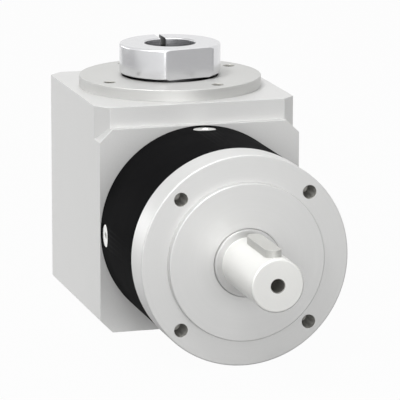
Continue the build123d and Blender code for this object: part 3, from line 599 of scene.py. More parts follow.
@dataclass(frozen=True)
class Finish:
    """A finish of one real material: its colour, its gloss and the fine marks of how it was made.

    Attributes:
        name: The material's common name and how its surface was made.
        colour: Its sRGB hex colour.
        metallic: 1 for bare metal, 0 for rubber or a black coating, and between them for pale matt
            skins such as anodising, as the photograph shows them.
        roughness: How dull it is.
        grain: How the surface was made.
        mark: The width of one mark in millimetres.
        relief: The depth of the marks in millimetres.
        specular: The specular level of a coating that isn't metal.
        tone: How much the marks lighten and darken the colour.
        axis: The axis that turned marks run round.
    """

    name: str
    colour: str
    metallic: float = 1.0
    roughness: float = 0.35
    grain: Grain = Grain.BLASTED
    mark: float = 0.5
    relief: float = 0.004
    specular: float = 0.5
    tone: float = 0.05
    axis: Axis = Axis.OUTPUT

    def mark_place(self, tree: bpy.types.NodeTree) -> bpy.types.NodeSocket:
        """The place to read the marks at, in mark widths.

        Turned marks are read at (distance from the axis, height along it), so they run round it.
        Drawn marks are stretched along Y. Blasted marks are alike in every direction.

        Args:
            tree: The material's node tree.

        Returns:
            The socket with the place.
        """
        where = add_node(tree, "ShaderNodeTexCoord").outputs["Object"]
        per_metre = 1 / (self.mark * MM)
        if self.grain is not Grain.TURNED:
            along = per_metre / DRAWN_LENGTH if self.grain is Grain.DRAWN else per_metre
            return add_node(
                tree, "ShaderNodeMapping", {"Vector": where},
                Scale=(per_metre, along, per_metre)).outputs[0]
        upright = self.axis is Axis.INPUT
        across = (per_metre, per_metre, 0) if upright else (per_metre, 0, per_metre)
        move = (0, -INPUT_AXIS_Y * MM * per_metre, 0) if upright else (0, 0, 0)
        plane = add_node(
            tree, "ShaderNodeMapping", {"Vector": where}, Scale=across, Location=move)
        distance = add_node(
            tree, "ShaderNodeVectorMath", {"0": plane.outputs[0]}, operation="LENGTH")
        parts = add_node(tree, "ShaderNodeSeparateXYZ", {"0": where})
        height = add_node(
            tree, "ShaderNodeMath", {"0": parts.outputs["Z" if upright else "Y"]},
            operation="MULTIPLY")
        height.inputs[1].default_value = per_metre
        return add_node(
            tree, "ShaderNodeCombineXYZ",
            {"X": distance.outputs["Value"], "Y": height.outputs[0]}).outputs[0]

    def material(self) -> bpy.types.Material:
        """Build the material.

        Returns:
            A node material whose colour, roughness and relief follow the marks.
        """
        made = bpy.data.materials.new(self.name)
        made.use_nodes = True
        tree = made.node_tree
        tree.nodes.clear()
        place = self.mark_place(tree)
        marks = add_node(
            tree, "ShaderNodeTexNoise", {"Vector": place}, Scale=1.0, Detail=3.0, Roughness=0.6)
        where = add_node(tree, "ShaderNodeTexCoord").outputs["Object"]
        patches = add_node(
            tree, "ShaderNodeTexNoise", {"Vector": where}, Scale=PATCHES_PER_METRE, Detail=2.0)
        base = np.array(linear(self.colour))
        dark = tuple(np.append(base[:3] * (1 - self.tone), 1.0))
        light = tuple(np.append(np.minimum(base[:3] * (1 + self.tone), 1.0), 1.0))
        tint = add_node(tree, "ShaderNodeValToRGB", {"Fac": marks.outputs["Fac"]})
        low, high = tint.color_ramp.elements
        low.position, low.color = NOISE_LOW, dark
        high.position, high.color = NOISE_HIGH, light
        both = add_node(
            tree, "ShaderNodeMath",
            {"0": marks.outputs["Fac"], "1": patches.outputs["Fac"]}, operation="ADD")
        gloss = add_node(
            tree, "ShaderNodeMapRange", {"Value": both.outputs[0]},
            From_Min=2 * NOISE_LOW, From_Max=2 * NOISE_HIGH,
            To_Min=self.roughness * (1 - GLOSS_SPREAD), To_Max=self.roughness * (1 + GLOSS_SPREAD))
        bump = add_node(
            tree, "ShaderNodeBump", {"Height": marks.outputs["Fac"]},
            Strength=1.0, Distance=self.relief * MM)
        shader = add_node(
            tree, "ShaderNodeBsdfPrincipled",
            {"Base Color": tint.outputs["Color"], "Roughness": gloss.outputs["Result"],
             "Normal": bump.outputs["Normal"]},
            Metallic=self.metallic, Specular_IOR_Level=self.specular)
        add_node(tree, "ShaderNodeOutputMaterial", {"Surface": shader.outputs[0]})
        return made


# Cast aluminium, bead blasted and anodised clear: an even pale grey with a soft, wide sheen. The
# beads leave dimples about 0.1 mm wide, too fine to show, so they are drawn coarser.
HOUSING = Finish(
    "anodised aluminium, bead blasted", "D5D5D4", metallic=0.5, roughness=0.5,
    mark=0.45, relief=0.005, tone=0.02)
# Turned and anodised aluminium: the same grey with rings that only soften the sheen. A fine cut
# leaves rings 0.1 to 0.2 mm apart, too fine to show, so all turned marks are drawn coarser.
FLANGE = Finish(
    "anodised aluminium, turned", "D6D6D5", metallic=0.5, roughness=0.45,
    grain=Grain.TURNED, mark=0.7, relief=0.0015, tone=0.015)
# The same metal turned about the upright axis, a little greyer on the disc: the greyer colour is
# painted shade that tones down the disc's brightly lit top.
DISC_PAINTED_SHADE = Finish(
    "anodised aluminium, turned upright", "C6C6C4", metallic=0.5, roughness=0.45,
    grain=Grain.TURNED, mark=0.7, relief=0.0015, tone=0.015, axis=Axis.INPUT)
# The tapped holes are darker and duller than the faces: their darker grey is painted shade for the
# deep, narrow holes, and a film of cutting oil makes them duller.
TAPPED_PAINTED_SHADE = Finish(
    "tapped thread, painted shade", "A6A5A0", metallic=0.5, roughness=0.55,
    mark=0.5, relief=0.001, tone=0.08)
# Steel, nitrided, oxidised black and turned: satin black with a faint grey sheen.
BLACK_RING = Finish(
    "black oxidised steel, turned", "0F0F10", metallic=0.0, roughness=0.6,
    grain=Grain.TURNED, mark=0.8, relief=0.002, specular=0.006, tone=0.1)
# Hardened steel, cylindrically ground: almost white in soft light, with fine lines round the shaft.
SHAFT = Finish(
    "ground steel", "F3F3F0", metallic=0.3, roughness=0.34,
    grain=Grain.TURNED, mark=0.5, relief=0.001, tone=0.015)
# The shoulder behind the ground seat is left as it was turned, greyer and duller than the seat.
SHOULDER = Finish(
    "turned steel", "C6C6C5", metallic=0.6, roughness=0.45,
    grain=Grain.TURNED, mark=0.7, relief=0.002, tone=0.03)
# Turned and polished steel: the brightest metal here, which mirrors the studio softly.
HUB = Finish(
    "polished steel", "DADADC", metallic=0.95, roughness=0.24,
    grain=Grain.TURNED, mark=0.6, relief=0.0002, tone=0.006, axis=Axis.INPUT)
# The slit is sawn and rough; its dark grey is painted shade, because the narrow slit lies out of
# the light.
SAWN_PAINTED_SHADE = Finish("sawn steel, painted shade", "5A5A5A", roughness=0.55, mark=0.3, relief=0.01, tone=0.12)
# Bright drawn key steel, greyer than the shaft, with marks along its length.
KEY = Finish(
    "drawn key steel", "C2C2BE", metallic=0.2, roughness=0.42,
    grain=Grain.DRAWN, mark=0.35, relief=0.002, tone=0.04)
# Zinc plated screws: bright with a slight cloud.
ZINC = Finish("zinc plated steel", "EDEDEB", roughness=0.28, mark=0.6, relief=0.001, tone=0.03)
# Case-hardened and ground gear steel: greyer and a little oily.
GEAR_STEEL = Finish(
    "case-hardened gear steel", "A8A7A3", roughness=0.34, mark=0.6, relief=0.002, tone=0.06)
# Through-hardened bearing steel, lapped to a mirror.
BEARING_STEEL = Finish(
    "lapped bearing steel", "D6D6D6", roughness=0.14,
    grain=Grain.TURNED, mark=0.5, relief=0.0005, tone=0.02)
# Phosphated spring steel: dark and dull.
SPRING_STEEL = Finish(
    "phosphated spring steel", "3A3A39", roughness=0.5, mark=0.3, relief=0.002, tone=0.1)
# Black oxidised screws with a film of oil.
DARK_SCREW = Finish(
    "black oxidised screw steel", "2E2E2E", metallic=0.8, roughness=0.36,
    mark=0.4, relief=0.001, tone=0.08)
# Bronze thrust washers, lapped: warm yellow brown with a soft shine.
BRONZE = Finish("lapped bronze", "B88B4A", roughness=0.32, mark=0.4, relief=0.001, tone=0.06)
# Moulded nitrile rubber of the shaft seals: matt black with a fine moulded skin.
RUBBER = Finish(
    "moulded nitrile rubber", "1E1E1E", metallic=0.0, roughness=0.62,
    mark=0.35, relief=0.006, tone=0.1)


@dataclass
class Dresser:
    """Places finished pieces on their bodies and keeps each finish's material."""

    materials: dict[str, bpy.types.Material] = field(default_factory=dict)

    def of(self, finish: Finish) -> bpy.types.Material:
        """Find a finish's material, which is made once.

        Args:
            finish: The finish.

        Returns:
            Its material.
        """
        if finish.name not in self.materials:
            self.materials[finish.name] = finish.material()
        return self.materials[finish.name]

    def place(self, piece: bpy.types.Object, finishes: tuple[Finish, ...], body: str, slot: str,
              instead_of: str) -> None:
        """Finish a piece and let it ride on its body.

        Args:
            piece: The piece.
            finishes: Its finishes, in the order of its faces' finish numbers.
            body: The moving body that carries it.
            slot: The record's material slot, which is not used.
            instead_of: The node that it stands for.
        """
        for finish in finishes:
            piece.data.materials.append(self.of(finish))
        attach(piece, body)
        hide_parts(instead_of)
        names = ", ".join(finish.name for finish in finishes)
        log.info("piece %s: %s, %d faces", piece.name, names, len(piece.data.polygons))

    def node(self, name: str, finish: Finish) -> None:
        """Give a node of the model its finish.

        Args:
            name: The node's name.
            finish: Its finish.
        """
        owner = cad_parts[name]
        if not owner.material_slots:
            owner.data.materials.append(self.of(finish))
        for slot in owner.material_slots:
            slot.material = self.of(finish)
        log.info("node %s: %s", name, finish.name)


@dataclass
class SocketScrew:
    """A screw with a hexagon socket, standing on Z with its head's top at height 0, in millimetres.

    Attributes:
        head_radius: The head's radius.
        head_height: The height of a head that isn't countersunk.
        shank_radius: The shank's radius.
        length: From the head's top to the tip.
        socket_radius: From the socket's middle to its corners.
        socket_depth: The depth of the socket's flat walls.
        edge: The rounding of the head's edge.
        socket_bevel: The width and depth of the bevel round the socket.
        tip_share: The bevel at the tip, as a share of the shank's radius.
        countersunk: Whether the head narrows to the shank as a cone.
    """

    head_radius: float
    head_height: float
    shank_radius: float
    length: float
    socket_radius: float
    socket_depth: float
    edge: float = 0.35
    socket_bevel: float = 0.25
    tip_share: float = 0.2
    countersunk: bool = False

    def surface(self, steps: int = 48) -> Surface:
        """The screw's closed surface.

        The outside is a turned profile. The top runs from the head's edge to a hexagon, whose point
        at angle t is socket radius * cos 30 / cos(t modulo 60 - 30 degrees) from the axis.

        Args:
            steps: Steps round the axis, a multiple of six.

        Returns:
            Head, socket and shank in one surface.
        """
        angles = turns(steps)
        under = self.shank_radius - self.head_radius if self.countersunk else -self.head_height
        seat = [] if self.countersunk else [(self.head_radius, under, 0.0)]
        top_radius, tip = self.head_radius - 2 * self.edge, self.shank_radius * self.tip_share
        outside = rounded([
            (top_radius, 0.0, 0.0), (self.head_radius, 0.0, self.edge), *seat,
            (self.shank_radius, under, 0.0), (self.shank_radius, tip - self.length, 0.0),
            (self.shank_radius - tip, -self.length, 0.0), (0.0, -self.length, 0.0),
        ])
        side = np.pi / 3
        hexagon = self.socket_radius * math.cos(side / 2) / np.cos(angles % side - side / 2)
        rim, middle = np.full(steps, top_radius), np.zeros(steps)
        radius = np.stack([rim, hexagon + self.socket_bevel, hexagon, hexagon, middle], axis=1)
        bottom = -self.socket_depth - DRILL_POINT * self.socket_radius
        height = np.array([0, 0, -self.socket_bevel, -self.socket_depth, bottom])
        return Surface.joined([revolved(outside, angles), lathed(radius, height, angles)])

    def placed(self, place: Matrix) -> Surface:
        """Move the screw from the origin to its place.

        Args:
            place: The matrix that moves it, in millimetres.

        Returns:
            The screw's surface in its place.
        """
        surface = self.surface()
        turn, move = np.array(place.to_3x3()), np.array(place.translation)
        return surface.moved(surface.points @ turn.T + move)


@dataclass
class OutputSide:
    """The mounting flange with its pilot, and the keyed output shaft, in millimetres."""

    flange_radius: float = 40.0
    flange_thickness: float = 14.0
    pilot_radius: float = 30.0
    pilot_height: float = 3.0
    rim: float = 0.5
    shoulder_bore: float = 13.06
    shoulder_face: float = -4.0
    seal_radius: float = 18.5
    seal_seat: float = -1.4
    bearing_radius: float = 27.5
    bearing_seat: float = 7.0
    circlip_seat: tuple[float, float] = (27.0, 28.4)
    circlip_depth: float = 1.2
    spigot_radius: float = 32.0
    spigot_end: float = 30.0
    spigot_edge: float = 0.4
    edge: float = 0.3
    seal_edge: float = 0.2
    bore_edge: float = 0.1
    bolt_circle: float = 35.0
    bolt_count: int = 4
    bolt_start: float = 45.0
    thread: Thread = Thread(
        root_radius=2.95, crest_radius=2.52, pitch=1.0, depth=10.0, mouth_radius=2.66)
    shaft_end: float = -40.0
    shaft_edge: float = 0.25
    key_edge: float = 0.2
    centre_hole_radius: float = 3.2

    def flange(self) -> Surface:
        """Turn the flange from its profile, with threaded holes in its face.

        Returns:
            The flange's closed surface, whose holes have the second finish.
        """
        face = DrilledFace(
            inner=self.pilot_radius, outer=self.flange_radius - self.rim,
            hole_circle=self.bolt_circle, hole_radius=self.thread.mouth_radius,
            count=self.bolt_count, start=self.bolt_start)
        low, high = self.circlip_seat
        groove = self.bearing_radius + self.circlip_depth
        # The outside is a thousandth under size at the face, which keeps the rim's arc in the box.
        at_face = self.flange_radius - SHORTEST_EDGE
        outside = rounded([
            (face.outer, 0, 0), (at_face, 0, self.rim * ARC_SHARE),
            (self.flange_radius, self.flange_thickness, self.edge),
            (self.spigot_radius, self.flange_thickness, 0),
            (self.spigot_radius, self.spigot_end, self.spigot_edge),
            (self.bearing_radius, self.spigot_end, self.edge),
            (self.bearing_radius, high, 0), (groove, high, 0),
            (groove, low, 0), (self.bearing_radius, low, 0),
            (self.bearing_radius, self.bearing_seat, 0),
            (self.seal_radius, self.bearing_seat, self.seal_edge),
            (self.seal_radius, self.seal_seat, 0), (self.shoulder_bore, self.seal_seat, 0),
            (self.shoulder_bore, -self.pilot_height, self.bore_edge),
            (self.pilot_radius, -self.pilot_height, self.rim), (self.pilot_radius, 0, 0),
        ])
        return Surface.joined([
            revolved(outside, turns(face.divisions)),
            face.face(0.0),
            face.walls(self.thread, 0.0, upward=True),
        ])

    def on_shoulder(self, middle: Array) -> Mask:
        """Which faces' middles lie on the shaft's shoulder or behind it."""
        return middle[:, 1] > self.shoulder_face - PAST

    def in_centre_hole(self, middle: Array) -> Mask:
        """Find the faces of the shaft's tapped centre hole.

        Args:
            middle: The faces' middles, in millimetres.

        Returns:
            Whether each face is in the hole.
        """
        near = np.hypot(middle[:, 0], middle[:, 2]) < self.centre_hole_radius
        behind_end = middle[:, 1] > self.shaft_end + PAST
        return near & behind_end & (middle[:, 1] < self.shoulder_face)

    def dress(self, dresser: Dresser) -> None:
        """Make and finish the flange, the shaft and its key.

        Args:
            dresser: Places and finishes the pieces.
        """
        flange = object_of("flange", self.flange(), Axis.OUTPUT)
        # The flange's tapped holes get a darker finish, which is painted shade.
        dresser.place(flange, (FLANGE, TAPPED_PAINTED_SHADE), "housing", "flange_steel", "output_flange")
        shaft = eased_copy("keyed_shaft", "output_shaft", self.shaft_edge, sharp_angle=50.0)
        refinish(shaft, 1, self.on_shoulder)
        # The shaft's centre hole gets the same darker finish of painted shade.
        refinish(shaft, 2, self.in_centre_hole)
        dresser.place(
            shaft, (SHAFT, SHOULDER, TAPPED_PAINTED_SHADE), "output_carrier", "shaft_steel", "output_shaft")
        key = eased_copy("feather_key", "shaft_key", self.key_edge, sharp_angle=50.0)
        dresser.place(key, (KEY,), "output_carrier", "key_steel", "shaft_key")
        dresser.node("output_seal", RUBBER)
        dresser.node("output_circlip", SPRING_STEEL)


@dataclass
class RingSide:
    """The black ring gear with the radial screws that hold it, in millimetres."""

    radius: float = 39.8
    screw_count: int = 4
    screw_height: float = 54.0
    screw_sink: float = 0.4
    screw: SocketScrew = field(default_factory=lambda: SocketScrew(
        head_radius=4.5, head_height=2.4, shank_radius=2.5, length=8.0, socket_radius=1.5,
        socket_depth=1.5))

    def screws(self) -> Surface:
        """Place the screws, each with its axis along a radius and its head outwards.

        Returns:
            All the screws in one surface.
        """
        out = Matrix.Translation((self.radius - self.screw_sink, 0, self.screw_height))
        lying = out @ Matrix.Rotation(math.pi / 2, 4, "Y")
        return Surface.joined([
            self.screw.placed(Matrix.Rotation(turn, 4, "Z") @ lying)
            for turn in turns(self.screw_count)
        ])

    def dress(self, dresser: Dresser) -> None:
        """Make and finish the ring and its screws.

        Args:
            dresser: Places and finishes the pieces.
        """
        ring = eased_copy("black_ring", "ring_gear", edge=0.0)
        dresser.place(ring, (BLACK_RING,), "housing", "black_ring", "ring_gear")
        screws = object_of("ring_screws", self.screws(), Axis.OUTPUT)
        dresser.place(screws, (ZINC,), "housing", "zinc_screws", "ring_gear_screws")


@dataclass
class HousingSide:
    """The angle housing with its rear cover and the cover's screws, in millimetres."""

    edge: float = 0.14
    rear: float = 143.0
    screw_circle: float = 30.0
    screw_count: int = 4
    screw_start: float = 45.0
    screw_sink: float = 0.05
    screw: SocketScrew = field(default_factory=lambda: SocketScrew(
        head_radius=3.7, head_height=1.8, shank_radius=2.0, length=12.0, socket_radius=1.35,
        socket_depth=1.4, edge=0.15, countersunk=True))

    def cover_screws(self) -> Surface:
        """Place the rear cover's countersunk screws, with their heads just under its face.

        Returns:
            All the screws in one surface.
        """
        out = Matrix.Translation((self.screw_circle, 0, self.rear - self.screw_sink))
        return Surface.joined([
            self.screw.placed(Matrix.Rotation(math.radians(self.screw_start) + turn, 4, "Z") @ out)
            for turn in turns(self.screw_count)
        ])

    def dress(self, dresser: Dresser) -> None:
        """Make and finish the housing, its cover and the screws.

        Args:
            dresser: Places and finishes the pieces.
        """
        body = eased_copy("housing_body", "angle_housing", self.edge, ease_angle=40.0)
        dresser.place(body, (HOUSING,), "housing", "housing_grey", "angle_housing")
        cover = eased_copy("cover", "rear_cover", edge=0.0, sharp_angle=35.0)
        dresser.place(cover, (FLANGE,), "housing", "housing_grey", "rear_cover")
        screws = object_of("cover_screws", self.cover_screws(), Axis.OUTPUT)
        dresser.place(screws, (ZINC,), "housing", "zinc_screws", "rear_cover_screws")


@dataclass
class InputSide:
    """The centring disc with its tapped holes, and the clamping hub above it, in millimetres."""

    disc_radius: float = 36.0
    disc_low: float = 47.975
    disc_top: float = 52.475
    disc_edge: float = 0.4
    seal_radius: float = 19.0
    seal_seat: float = 44.975
    neck_bore: float = 12.8
    stop: float = 43.975
    bearing_radius: float = 23.5
    spigot_radius: float = 26.5
    spigot_end: float = 23.975
    edge: float = 0.3
    circlip_seat: tuple[float, float] = (24.575, 25.975)
    circlip_depth: float = 1.2
    hole_circle: float = 30.0
    hole_count: int = 4
    hole_start: float = 22.5
    thread: Thread = Thread(
        root_radius=2.5, crest_radius=2.1, pitch=0.8, depth=4.5, mouth_radius=2.4)
    bore_radius: float = 10.0
    slit_width: float = 2.0
    hub_edge: float = 0.2
    clamp_seat: float = 5.5
    clamp_offset: float = 14.6
    clamp_height: float = 59.175
    clamp: SocketScrew = field(default_factory=lambda: SocketScrew(
        head_radius=4.25, head_height=5.0, shank_radius=2.5, length=19.5, socket_radius=2.3,
        socket_depth=2.6))

    def disc(self) -> Surface:
        """Turn the centring disc with its spigot from its profile, with tapped holes through it.

        Returns:
            The disc's closed surface, whose holes have the second finish.
        """
        top = DrilledFace(
            inner=self.seal_radius + self.edge, outer=self.disc_radius - self.disc_edge,
            hole_circle=self.hole_circle, hole_radius=self.thread.mouth_radius,
            count=self.hole_count, start=self.hole_start)
        bottom = DrilledFace(
            inner=self.spigot_radius, outer=self.disc_radius,
            hole_circle=self.hole_circle, hole_radius=self.thread.crest_radius,
            count=self.hole_count, start=self.hole_start)
        low, high = self.circlip_seat
        groove = self.bearing_radius + self.circlip_depth
        rim = rounded([
            (top.outer, self.disc_top, 0),
            (self.disc_radius, self.disc_top, self.disc_edge * ARC_SHARE),
            (self.disc_radius, self.disc_low, 0),
        ])
        inside = rounded([
            (self.spigot_radius, self.disc_low, 0),
            (self.spigot_radius, self.spigot_end, self.edge),
            (self.bearing_radius, self.spigot_end, 0), (self.bearing_radius, low, 0),
            (groove, low, 0), (groove, high, 0),
            (self.bearing_radius, high, 0), (self.bearing_radius, self.stop, 0),
            (self.neck_bore, self.stop, 0), (self.neck_bore, self.seal_seat, 0),
            (self.seal_radius, self.seal_seat, 0), (self.seal_radius, self.disc_top, self.edge),
            (top.inner, self.disc_top, 0),
        ])
        angles = turns(top.divisions)
        # The walls end at the disc's underside, whose holes have the same directions of points.
        return Surface.joined([
            revolved(rim, angles),
            revolved(inside, angles),
            top.face(self.disc_top),
            top.walls(self.thread, self.disc_top, upward=False, floor=False),
            bottom.face(self.disc_low, top.hole_angles()),
        ])

    def in_slit(self, middle: Array) -> Mask:
        """Which faces' middles lie on the slit's walls, beyond the bore's eased edge."""
        beyond_bore = middle[:, 1] > INPUT_AXIS_Y + self.bore_radius + self.hub_edge
        return (np.abs(middle[:, 0]) < self.slit_width / 2 + PAST) & beyond_bore

    def clamp_screw(self) -> Surface:
        """Lay the clamping screw along X across the slit, with its head in the pocket.

        Returns:
            The screw's surface.
        """
        head_top = self.clamp_seat + self.clamp.head_height
        place = Matrix.Translation((head_top, self.clamp_offset, self.clamp_height))
        return self.clamp.placed(place @ Matrix.Rotation(math.pi / 2, 4, "Y"))

    def dress(self, dresser: Dresser) -> None:
        """Make and finish the disc, the hub and the clamping screw.

        Args:
            dresser: Places and finishes the pieces.
        """
        # The disc's greyer aluminium is painted shade on its lit top.
        disc = object_of("centring_disc", self.disc(), Axis.INPUT)
        # Its tapped holes' darker finish is painted shade.
        dresser.place(disc, (DISC_PAINTED_SHADE, TAPPED_PAINTED_SHADE), "housing", "housing_grey", "input_flange")
        hub = eased_copy("clamping_hub", "input_clamp_hub", self.hub_edge, sharp_angle=50.0)
        # The slit's walls get a dark grey that is painted shade.
        refinish(hub, 1, self.in_slit)
        dresser.place(hub, (HUB, SAWN_PAINTED_SHADE), "input", "shaft_steel", "input_clamp_hub")
        screw = object_of("clamping_screw", self.clamp_screw(), Axis.INPUT)
        dresser.place(screw, (DARK_SCREW,), "input", "dark_screws", "clamp_screw")
        dresser.node("input_seal", RUBBER)
        dresser.node("input_circlip", SPRING_STEEL)


@dataclass
class Insides:
    """The pieces inside the closed housing, which keep the model's own shapes."""

    gears: tuple[str, ...] = (
        "sun_shaft", "output_bevel_gear", "input_bevel_gear", "planet_gear_1", "planet_gear_2",
        "planet_gear_3", "carrier_plate",
    )
    springs: tuple[str, ...] = ("sun_bearing_circlip", "sun_shaft_rings", "input_shaft_ring")
    keys: tuple[str, ...] = ("sun_shaft_key", "input_shaft_key")

    def dress(self, dresser: Dresser) -> None:
        """Finish every inner node.

        Args:
            dresser: Finishes the nodes.
        """
        chosen = [(self.gears, GEAR_STEEL), (self.springs, SPRING_STEEL), (self.keys, KEY),
                  (("planet_washers",), BRONZE), (("carrier_screws",), DARK_SCREW)]
        for names, finish in chosen:
            for name in names:
                dresser.node(name, finish)
        for name in sorted(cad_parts):
            in_bearing = "bearing_" in name and "circlip" not in name
            if in_bearing or "needles" in name or name == "planet_pins":
                dresser.node(name, BEARING_STEEL)


@dataclass(frozen=True)
class Lamp:
    """A softbox that lights the object.

    Attributes:
        name: The lamp's name.
        place: Its place in metres.
        size: Its width and height in metres.
        power: Its power in watts.
    """

    name: str
    place: tuple[float, float, float]
    size: tuple[float, float]
    power: float

    def hang(self, target: Vector) -> None:
        """Put the lamp in the scene, facing a point.

        Args:
            target: The point that it faces, in metres.
        """
        data = bpy.data.lights.new(self.name, "AREA")
        data.shape, data.energy = "RECTANGLE", self.power
        data.size, data.size_y = self.size
        made = add_object(self.name, data)
        made.location = self.place
        made.rotation_mode = "QUATERNION"
        made.rotation_quaternion = (target - made.location).to_track_quat("-Z", "Y")


LAMPS = (
    Lamp("top_softbox", (0.1, 0.3, 1.3), (0.9, 0.9), 5.0),
    Lamp("left_high", (-0.55, -0.2, 1.3), (0.4, 0.4), 10.0),
    Lamp("left_up", (-1.1, -0.1, 0.9), (0.5, 0.5), 1.0),
    Lamp("front_left", (-0.62, -1.25, 0.5), (0.5, 0.5), 1.5),
    Lamp("low_front", (-0.15, -1.45, 0.12), (0.9, 0.5), 8.5),
    Lamp("rear_left", (-0.85, 1.05, 0.1), (0.9, 0.28), 2.4),
)


@dataclass
class Studio:
    """The pale floor, the soft lamps and the camera at the photograph's angle.

    Attributes:
        azimuth: The camera's angle round the object, in degrees.
        elevation: The camera's angle above the horizon, in degrees.
        roll: The camera's turn about its own line of sight, in degrees.
        target: The point at the picture's middle, in millimetres.
        distance: From the camera to that point, in millimetres.
        sensor: The width of the camera's sensor, in millimetres.
        lens: The focal length, in millimetres.
        clip: The nearest and the farthest that the camera sees, in metres.
        aim: The point that the lamps face, in metres.
        floor: The floor's height, in millimetres.
        gap: How far the paper lies under the floor's height, in millimetres.
        half_width: How far the paper reaches to each side, in millimetres.
        near_end: The Y of the paper's near end, in millimetres.
        bend_start: The Y at which the paper starts to curve up, in millimetres.
        bend_radius: The radius of that curve, in millimetres.
        bend_steps: Steps along it.
        wall_top: The height of the paper's upper end over the floor, in millimetres.
        paper: The paper's sRGB hex colour, which decides how much light it throws back.
        paper_seen: How white the camera sees the paper, which leaves a trace of shadow.
        room: The strength of the room's light on the object.
        floor_white: How white the floor shows in metal.
        wall_white: How white the wall shows in metal.
        wall_foot: The heights between which metal sees floor turn to wall, in metres.
        front: The direction of the glowing stretch of floor in front on the left, which is painted
            light for reflections in metal.
        front_reach: How far out in that direction the floor turns white, in metres.
        side_reach: The X between which the glowing patch close behind on the left turns white, in
            metres. The left wall mirrors it as a painted reflection.
        rear_reach: The Y between which that patch turns white, in metres.
    """

    azimuth: float = -16.25
    elevation: float = 12.46
    roll: float = 0.10
    target: tuple[float, float, float] = (-17.53, 0.0, 24.22)
    distance: float = 1203.65
    sensor: float = 36.0
    lens: float = 295.24
    clip: tuple[float, float] = (0.05, 20.0)
    aim: tuple[float, float, float] = (0.0, 0.05, 0.0)
    floor: float = -40.0
    gap: float = 0.2
    half_width: float = 3500.0
    near_end: float = -2500.0
    bend_start: float = 1500.0
    bend_radius: float = 600.0
    bend_steps: int = 16
    wall_top: float = 3000.0
    paper: str = "959595"
    paper_seen: float = 0.97
    room: float = 0.36
    floor_white: float = 0.28
    wall_white: float = 0.95
    wall_foot: tuple[float, float] = (0.1, 0.4)
    front: tuple[float, float, float] = (-0.6, -0.8, 0.0)
    front_reach: tuple[float, float] = (0.15, 0.3)
    side_reach: tuple[float, float] = (-0.3, -0.18)
    rear_reach: tuple[float, float] = (0.0, 0.1)

    def camera(self) -> None:
        """Set the camera that the fit to the photograph gave."""
        a, e = math.radians(self.azimuth), math.radians(self.elevation)
        back = Vector((math.sin(a) * math.cos(e), -math.cos(a) * math.cos(e), math.sin(e)))
        data = bpy.data.cameras.new("camera")
        data.lens, data.sensor_width = self.lens, self.sensor
        data.clip_start, data.clip_end = self.clip
        made = add_object("camera", data)
        made.rotation_mode = "QUATERNION"
        tilt = Quaternion((0.0, 0.0, 1.0), math.radians(self.roll))
        made.rotation_quaternion = (-back).to_track_quat("-Z", "Y") @ tilt
        made.location = (Vector(self.target) + back * self.distance) * MM
        bpy.context.scene.camera = made

    def painted_glow_in_metal(self, tree: bpy.types.NodeTree) -> bpy.types.NodeSocket:
        """How white the paper shows in metal, from its place on the sweep.

        The floor shows grey and the wall white. Two stretches of floor glow white as well, which is
        painted light that only metal sees: one in front on the left, and one close behind the
        object on the left, which the left wall mirrors as a painted reflection.

        Args:
            tree: The paper's node tree.

        Returns:
            The socket with the share of white.
        """
        place = add_node(tree, "ShaderNodeTexCoord").outputs["Object"]
        where = add_node(tree, "ShaderNodeSeparateXYZ", {"0": place})
        aim = add_node(tree, "ShaderNodeVectorMath", {"0": place}, operation="DOT_PRODUCT")
        aim.inputs[1].default_value = self.front
        rise = add_node(
            tree, "ShaderNodeMapRange", {"Value": where.outputs["Z"]},
            From_Min=self.wall_foot[0], From_Max=self.wall_foot[1],
            To_Min=self.floor_white, To_Max=self.wall_white)
        front = add_node(
            tree, "ShaderNodeMapRange", {"Value": aim.outputs["Value"]},
            From_Min=self.front_reach[0], From_Max=self.front_reach[1],
            To_Min=self.floor_white, To_Max=1.0)
        beside = add_node(
            tree, "ShaderNodeMapRange", {"Value": where.outputs["X"]},
            From_Min=self.side_reach[0], From_Max=self.side_reach[1], To_Min=0.0, To_Max=1.0)
        back = add_node(
            tree, "ShaderNodeMapRange", {"Value": where.outputs["Y"]},
            From_Min=self.rear_reach[0], From_Max=self.rear_reach[1], To_Min=0.0, To_Max=1.0)
        behind = add_node(
            tree, "ShaderNodeMath",
            {"0": beside.outputs["Result"], "1": back.outputs["Result"]}, operation="MULTIPLY")
        paper = add_node(
            tree, "ShaderNodeMath",
            {"0": rise.outputs["Result"], "1": front.outputs["Result"]}, operation="MAXIMUM")
        return add_node(
            tree, "ShaderNodeMath",
            {"0": paper.outputs[0], "1": behind.outputs[0]}, operation="MAXIMUM").outputs[0]

    def paper_material(self) -> bpy.types.Material:
        """Build the paper's material.

        Returns:
            White paper that keeps the object's shadow. Metal sees a darker floor, a white wall and
            two glowing patches of painted light.
        """
        made = bpy.data.materials.new("white paper sweep")
        made.use_nodes = True
        tree = made.node_tree
        tree.nodes.clear()
        paper = add_node(tree, "ShaderNodeBsdfDiffuse", Color=linear(self.paper))
        white = add_node(tree, "ShaderNodeEmission", Color=WHITE, Strength=1.0)
        rays = add_node(tree, "ShaderNodeLightPath")
        camera = add_node(
            tree, "ShaderNodeMath", {"0": rays.outputs["Is Camera Ray"]}, operation="MULTIPLY")
        camera.inputs[1].default_value = self.paper_seen
        # Metal sees the paper glow, with patches of painted light for its reflections.
        glossy = add_node(
            tree, "ShaderNodeMath",
            {"0": rays.outputs["Is Glossy Ray"], "1": self.painted_glow_in_metal(tree)},
            operation="MULTIPLY")
        share = add_node(
            tree, "ShaderNodeMath",
            {"0": camera.outputs[0], "1": glossy.outputs[0]}, operation="MAXIMUM")
        mixed = add_node(
            tree, "ShaderNodeMixShader",
            {"0": share.outputs[0], "1": paper.outputs[0], "2": white.outputs[0]})
        add_node(tree, "ShaderNodeOutputMaterial", {"Surface": mixed.outputs[0]})
        return made

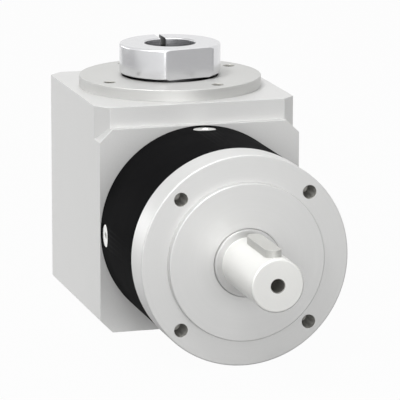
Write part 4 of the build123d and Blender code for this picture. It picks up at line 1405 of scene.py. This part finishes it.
    def sweep(self) -> None:
        """Lay the paper: a profile of floor, quarter circle and wall along Y, carried along X.

        At angle t, which goes from 90 degrees to 0, the quarter circle's point is at
        (start + radius cos t, radius - radius sin t).
        """
        quarter = turns(4 * self.bend_steps)[:self.bend_steps + 1][::-1]
        bend = self.bend_start + self.bend_radius * np.cos(quarter)
        rise = self.bend_radius - self.bend_radius * np.sin(quarter)
        along = np.concatenate([[self.near_end], bend, [self.bend_start + self.bend_radius]])
        height = np.concatenate([[0.0], rise, [self.wall_top]]) + self.floor - self.gap
        across = np.array([-self.half_width, self.half_width])
        surface = grid(np.stack(np.broadcast_arrays(across[:, None], along, height), axis=-1))
        mesh = bpy.data.meshes.new("sweep")
        mesh.from_pydata((surface.points * MM).tolist(), [], surface.quads.tolist())
        mesh.shade_smooth()
        mesh.materials.append(self.paper_material())
        add_object("sweep", mesh)

    def world(self) -> None:
        """A pale studio round the object, white where the camera or metal sees it."""
        world = bpy.data.worlds.new("studio")
        bpy.context.scene.world = world
        world.use_nodes = True
        tree = world.node_tree
        tree.nodes.clear()
        rays = add_node(tree, "ShaderNodeLightPath")
        room = add_node(tree, "ShaderNodeBackground", Color=WHITE, Strength=self.room)
        white = add_node(tree, "ShaderNodeBackground", Color=WHITE, Strength=1.0)
        direct = add_node(
            tree, "ShaderNodeMath",
            {"0": rays.outputs["Is Camera Ray"], "1": rays.outputs["Is Glossy Ray"]},
            operation="MAXIMUM")
        clear = add_node(
            tree, "ShaderNodeMath",
            {"0": direct.outputs[0], "1": rays.outputs["Is Transmission Ray"]},
            operation="MAXIMUM")
        mixed = add_node(
            tree, "ShaderNodeMixShader",
            {"0": clear.outputs[0], "1": room.outputs[0], "2": white.outputs[0]})
        add_node(tree, "ShaderNodeOutputWorld", {"Surface": mixed.outputs[0]})

    def build(self) -> None:
        """Set up floor, light and camera."""
        self.sweep()
        self.world()
        for lamp in LAMPS:
            lamp.hang(Vector(self.aim))
        self.camera()
        bpy.context.scene.view_settings.view_transform = "Standard"


def main() -> None:
    logging.basicConfig(level=logging.INFO, format="%(message)s")
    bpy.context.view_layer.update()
    dresser = Dresser()
    for side in (OutputSide(), RingSide(), HousingSide(), InputSide(), Insides()):
        side.dress(dresser)
    Studio().build()


if __name__ == "__main__":
    main()
